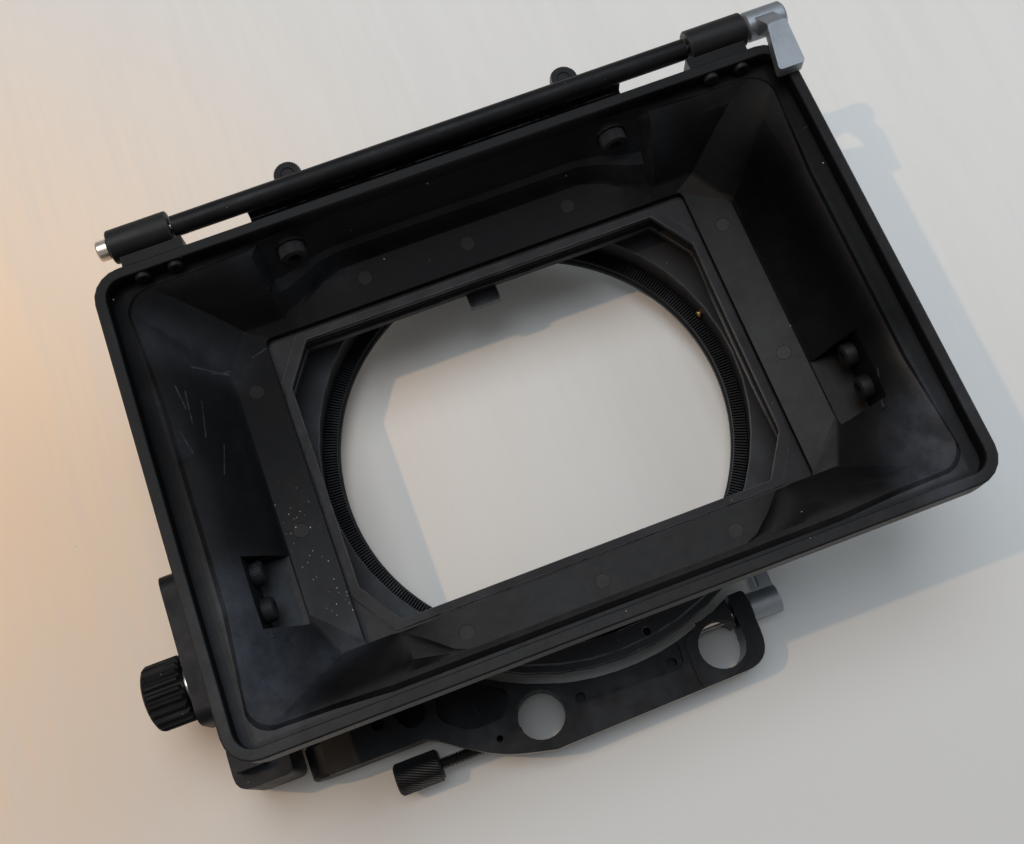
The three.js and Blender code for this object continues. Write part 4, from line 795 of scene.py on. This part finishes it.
class MATTEBOX_OT_stage(bpy.types.Operator):
    """Camera, floor and lights"""

    bl_idname = "mattebox.stage"
    bl_label = "Stage"

    def execute(self, context):
        stage = context.scene.matte_box_stage
        camera = bpy.data.objects.new("camera", bpy.data.cameras.new("camera"))
        context.scene.collection.objects.link(camera)
        right, up = Vector(CAMERA_RIGHT), Vector(CAMERA_UP)
        turn = Matrix((right, up, right.cross(up))).transposed()
        camera.matrix_world = Matrix.Translation(CAMERA_AT) @ turn.to_4x4()
        camera.data.lens = CAMERA_LENS
        camera.data.sensor_width = 36
        camera.data.clip_start = 0.01
        context.scene.camera = camera
        self.floor(stage)
        self.lights(context, stage)
        self.room(context, stage)
        context.scene.view_settings.view_transform = "Standard"
        return {"FINISHED"}

    def floor(self, stage):
        """A pale board right behind the object."""
        deselect()
        bpy.ops.mesh.primitive_plane_add(size=3, location=(0, BOARD_Y, OPTICS_Z),
                                         rotation=(math.radians(90), 0, 0))
        board = bpy.context.object
        bpy.ops.object.transform_apply(location=True, rotation=True)
        board.name = "floor"
        board.data.materials.append(board_material(stage))

    def lights(self, context, stage):
        """Lamps: name, offset from the object, width, power and colour."""
        centre = Vector((0, -0.04, OPTICS_Z))
        plan = [("key", (-0.872, -1.6, 0.262), 0.034, stage.key_power, (1.0, 0.66, 0.36)),
                ("overhead", (-0.1, -2.1, 0.5), 1.5, stage.overhead_power, (0.82, 0.91, 1.0)),
                ("window", (1.3, -0.95, 0.15), 1.3, stage.window_power, (0.72, 0.86, 1.0)),
                ("back", (-0.5, 1.3, 0.8), 1.2, stage.window_power, (1.0, 1.0, 1.0))]
        for name, offset, size, power, colour in plan:
            lamp = bpy.data.lights.new(name, "AREA")
            lamp.shape = "DISK"
            lamp.size = size
            lamp.energy = power
            lamp.color = colour
            obj = bpy.data.objects.new(name, lamp)
            obj.location = centre + Vector(offset)
            obj.rotation_euler = (-Vector(offset)).to_track_quat("-Z", "Y").to_euler()
            context.scene.collection.objects.link(obj)

    def room(self, context, stage):
        """Even light from all round, and a grey backdrop for the camera."""
        world = bpy.data.worlds.new("soft_room")
        world.use_nodes = True
        tree = world.node_tree
        tree.nodes.clear()
        out = tree.nodes.new("ShaderNodeOutputWorld")
        light = tree.nodes.new("ShaderNodeBackground")
        light.inputs[0].default_value = (0.97, 0.985, 1.0, 1)
        light.inputs[1].default_value = stage.ambient
        seen = tree.nodes.new("ShaderNodeBackground")
        seen.inputs[0].default_value = (0.72, 0.72, 0.72, 1)
        blend = tree.nodes.new("ShaderNodeMixShader")
        path = tree.nodes.new("ShaderNodeLightPath")
        tree.links.new(path.outputs["Is Camera Ray"], blend.inputs[0])
        tree.links.new(light.outputs[0], blend.inputs[1])
        tree.links.new(seen.outputs[0], blend.inputs[2])
        tree.links.new(blend.outputs[0], out.inputs[0])
        context.scene.world = world


class MATTEBOX_OT_hood(bpy.types.Operator):
    """Moulded hood with softly rounded edges"""

    bl_idname = "mattebox.hood"
    bl_label = "Hood"

    def execute(self, context):
        dressed("hood_shade", context.scene.matte_box_detail.edge, 24, 2, 0.4)
        return {"FINISHED"}


class MATTEBOX_OT_frame(bpy.types.Operator):
    """Front frame, filter stage, trays, catch and rear housing"""

    bl_idname = "mattebox.frame"
    bl_label = "Frame and stage"

    def execute(self, context):
        edge = context.scene.matte_box_detail.machined_edge
        dressed("front_frame", edge * 0.6)
        for node in ("stage_body", "filter_tray_front", "filter_tray_rear", "rear_housing"):
            dressed(node, edge)
        dressed("filter_clip", edge * 1.6, segments=3)
        return {"FINISHED"}


class MATTEBOX_OT_ring(bpy.types.Operator):
    """Rotating ring with its fine ribs, and its lock screw"""

    bl_idname = "mattebox.ring"
    bl_label = "Rear ring"

    def execute(self, context):
        low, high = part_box("rear_ring")
        face = low.y + RIB_HEIGHT * MM
        body = self.body(low.y, high.y, face, high.x)
        ribs = self.ribs(context.scene.matte_box_detail.ring_ribs, low.y, face)
        ring = merged(body, ribs)
        aim(ring, (0, 0, (low.z + high.z) / 2), (0, 1, 0))
        finish_piece(ring, "rotating_ring", "black_steel", "ring", "rear_ring", angle=28)
        dressed("ring_lock_knob", 0.15 * MM)
        dressed("ring_lock_tip", 0.15 * MM)
        return {"FINISHED"}

    def body(self, front, back, face, outer):
        """The turned ring behind the ribs, with its flange at the back."""
        rib_out, rib_in, hole, chamfer = RIB_OUT * MM, RIB_IN * MM, RING_HOLE * MM, 0.3 * MM
        flange = back - 2.5 * MM
        seat = front + 2.7 * MM
        return turned([(rib_in, face), (rib_out, face), (rib_out, flange - chamfer),
                       (rib_out + chamfer, flange), (outer - chamfer, flange),
                       (outer, flange + chamfer), (outer, back - chamfer), (outer - chamfer, back),
                       (hole + 1.4 * MM, back), (hole, back - 3 * MM), (hole, seat + 0.5 * MM),
                       (hole + chamfer, seat), (rib_in, seat), (rib_in, face)], 180)

    def ribs(self, count, front, face):
        """A flat ring of wedges, every second one raised from the face to the front."""
        deselect()
        bpy.ops.mesh.primitive_circle_add(vertices=count * 2, radius=RIB_OUT * MM,
                                          location=(0, 0, face))
        obj = bpy.context.object
        bpy.ops.object.transform_apply(location=True)
        edit(obj, kind="EDGE")
        bpy.ops.mesh.extrude_region_move()
        share = RIB_IN / RIB_OUT
        bpy.ops.transform.resize(value=(share, share, 1), center_override=(0, 0, 0))
        leave()
        turn = math.tau / count

        def on_rib(wedge):
            angle = math.atan2(wedge.center.y, wedge.center.x) + math.tau
            return angle % turn < turn / 2

        edit(obj, on_rib, "FACE")
        bpy.ops.mesh.extrude_region_move(TRANSFORM_OT_translate={"value": (0, 0, front - face)})
        leave()
        return obj


class MATTEBOX_OT_bracket(bpy.types.Operator):
    """Rod bracket, hinge, swing arm and side plate"""

    bl_idname = "mattebox.bracket"
    bl_label = "Bracket and arm"

    def execute(self, context):
        edge = context.scene.matte_box_detail.machined_edge
        dressed("rod_bracket", edge, 34)
        dressed("swing_arm", edge, 34)
        dressed("side_plate", edge)
        dressed("hinge_pin", edge)
        dressed("hinge_washer", 0.1 * MM)
        dressed("rod_clamp_bolt", 0.1 * MM)
        return {"FINISHED"}


class MATTEBOX_OT_screws(bpy.types.Operator):
    """Socket screws in the hood's pockets, recess and rim"""

    bl_idname = "mattebox.screws"
    bl_label = "Socket screws"

    def execute(self, context):
        for height in ("upper", "lower"):
            socket_screw(f"side_screw_left_{height}", (1, 0, 0), 0.985, 0.3)
            socket_screw(f"side_screw_right_{height}", (-1, 0, 0), 0.985, 0.3)
        for side in ("left", "right"):
            socket_screw(f"top_screw_{side}", (0, 0, -1))
            for number in (1, 2):
                socket_screw(f"rim_screw_{side}_{number}", (0, 0, -1), 0.99, 0.3)
        return {"FINISHED"}


class MATTEBOX_OT_knob(bpy.types.Operator):
    """Fluted arm knob with its threaded stud and washer"""

    bl_idname = "mattebox.knob"
    bl_label = "Arm knob"

    def execute(self, context):
        detail = context.scene.matte_box_detail
        start, end, radius = cylinder_of("arm_knob", (-1, 0, 0))
        length = (end - start).length
        knob = ridged(radius, 0, length, 22, 0.9)
        trimmed(knob, [(0, 0), (radius - 1.0 * MM, 0), (radius * TRIM, 0.9 * MM),
                       (radius * TRIM, length - 1.9 * MM), (radius - 0.5 * MM, length - 0.8 * MM),
                       (radius - 1.9 * MM, length - 0.1 * MM), (radius - 2.6 * MM, length),
                       (radius - 3.2 * MM, length - 0.5 * MM), (0, length - 0.5 * MM)], 88)
        soften(knob, 0.22 * MM, 28, 2)
        aim(knob, start, (-1, 0, 0))
        finish_piece(knob, "fluted_knob", "knob_plastic", "arm_knob", "arm_knob", angle=40)
        start, end, radius = cylinder_of("arm_knob_stud", (-1, 0, 0))
        stud = threaded(radius, detail.thread_pitch, 0, (end - start).length)
        aim(stud, start, (-1, 0, 0))
        finish_piece(stud, "knob_stud", "bright_steel", "arm_knob", "arm_knob_stud", angle=30)
        dressed("arm_knob_washer", 0.15 * MM)
        return {"FINISHED"}


class MATTEBOX_OT_rod_screw(bpy.types.Operator):
    """Rod screw with its knurled head of twisted ridges, and its thread"""

    bl_idname = "mattebox.rod_screw"
    bl_label = "Rod screw"

    def execute(self, context):
        detail = context.scene.matte_box_detail
        low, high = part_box("rod_screw")
        radius = (high.z - low.z) / 2
        length = 14.4 * MM
        middle = Vector((low.x, (low.y + high.y) / 2, (low.z + high.z) / 2))
        head = ridged(radius, 0, length, 36, 0.93, math.radians(75), 11)
        trimmed(head, rod(radius * TRIM, 0, length, 0.8 * MM), 72)
        shank = threaded(1.9 * MM, detail.thread_pitch, length - 0.5 * MM, high.x - low.x)
        screw = merged(head, shank)
        aim(screw, middle, (1, 0, 0))
        finish_piece(screw, "knurled_rod_screw", "black_steel", "rod_screw", "rod_screw", angle=20)
        dressed("rod_screw_tip", 0.15 * MM)
        return {"FINISHED"}


class MATTEBOX_OT_flag_holder(bpy.types.Operator):
    """Flag holder: blocks, tube, rod, plate and thumbscrews"""

    bl_idname = "mattebox.flag_holder"
    bl_label = "Flag holder"

    def execute(self, context):
        detail = context.scene.matte_box_detail
        for side in ("left", "right"):
            dressed(f"flag_block_{side}", detail.edge * 1.2, 30, 3)
            self.thumbscrew(side, detail)
        dressed("flag_tube", detail.machined_edge)
        dressed("flag_plate", detail.machined_edge)
        dressed("flag_rod", detail.machined_edge)
        return {"FINISHED"}

    def thumbscrew(self, side, detail):
        node = f"flag_screw_{side}"
        low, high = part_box(node)
        radius = (high.z - low.z) / 2
        centre = (low + high) / 2
        thick = 2.8 * MM
        head = ridged(radius, 0, thick, detail.knurls, 0.93)
        trimmed(head, [(0, 0.35 * MM), (radius * 0.42, 0.35 * MM), (radius * 0.5, 0),
                       (radius * 0.9, 0), (radius * TRIM, 0.45 * MM),
                       (radius * TRIM, thick - 0.4 * MM), (radius * 0.92, thick), (0, thick)], 72)
        mark_worn(head, [float(math.hypot(*face.center.xy) > radius * 0.9)
                         for face in head.data.polygons])
        shank = threaded(1.65 * MM, detail.thread_pitch, thick - 0.2 * MM, high.y - low.y, 16)
        screw = merged(head, shank)
        aim(screw, (centre.x, low.y, centre.z), (0, 1, 0))
        finish_piece(screw, f"thumbscrew_{side}", "black_steel", BODY_OF[node], node, angle=25)


class MATTEBOX_OT_levers(bpy.types.Operator):
    """Silver clamp levers"""

    bl_idname = "mattebox.levers"
    bl_label = "Levers"

    def execute(self, context):
        edge = context.scene.matte_box_detail.machined_edge
        dressed("flag_lever", edge * 2.2, 30, 3)
        dressed("rod_lever", edge * 1.6, 30, 3)
        return {"FINISHED"}


STEPS = [MATTEBOX_OT_stage, MATTEBOX_OT_hood, MATTEBOX_OT_frame, MATTEBOX_OT_ring,
         MATTEBOX_OT_bracket, MATTEBOX_OT_screws, MATTEBOX_OT_knob, MATTEBOX_OT_rod_screw,
         MATTEBOX_OT_flag_holder, MATTEBOX_OT_levers]


class MATTEBOX_PT_panel(bpy.types.Panel):
    """Lists the settings and the steps of the matte box"""

    bl_idname = "MATTEBOX_PT_panel"
    bl_label = "Matte Box"
    bl_space_type = "VIEW_3D"
    bl_region_type = "UI"
    bl_category = "Matte Box"

    def draw(self, context):
        scene = context.scene
        for group in (scene.matte_box_look, scene.matte_box_detail, scene.matte_box_stage):
            box = self.layout.box()
            for name in group.bl_rna.properties.keys():
                if name not in ("rna_type", "name"):
                    box.prop(group, name)
        for step in STEPS:
            self.layout.operator(step.bl_idname)


GROUPS = {"matte_box_look": MatteBoxLook, "matte_box_detail": MatteBoxDetail,
          "matte_box_stage": MatteBoxStage}


def register():
    for cls in (*GROUPS.values(), *STEPS, MATTEBOX_PT_panel):
        bpy.utils.register_class(cls)
    for name, group in GROUPS.items():
        setattr(bpy.types.Scene, name, PointerProperty(type=group))


def unregister():
    for name in GROUPS:
        delattr(bpy.types.Scene, name)
    for cls in reversed((*GROUPS.values(), *STEPS, MATTEBOX_PT_panel)):
        bpy.utils.unregister_class(cls)


def main():
    register()
    for step in STEPS:
        area, name = step.bl_idname.split(".")
        getattr(getattr(bpy.ops, area), name)()


if __name__ == "__main__":
    main()
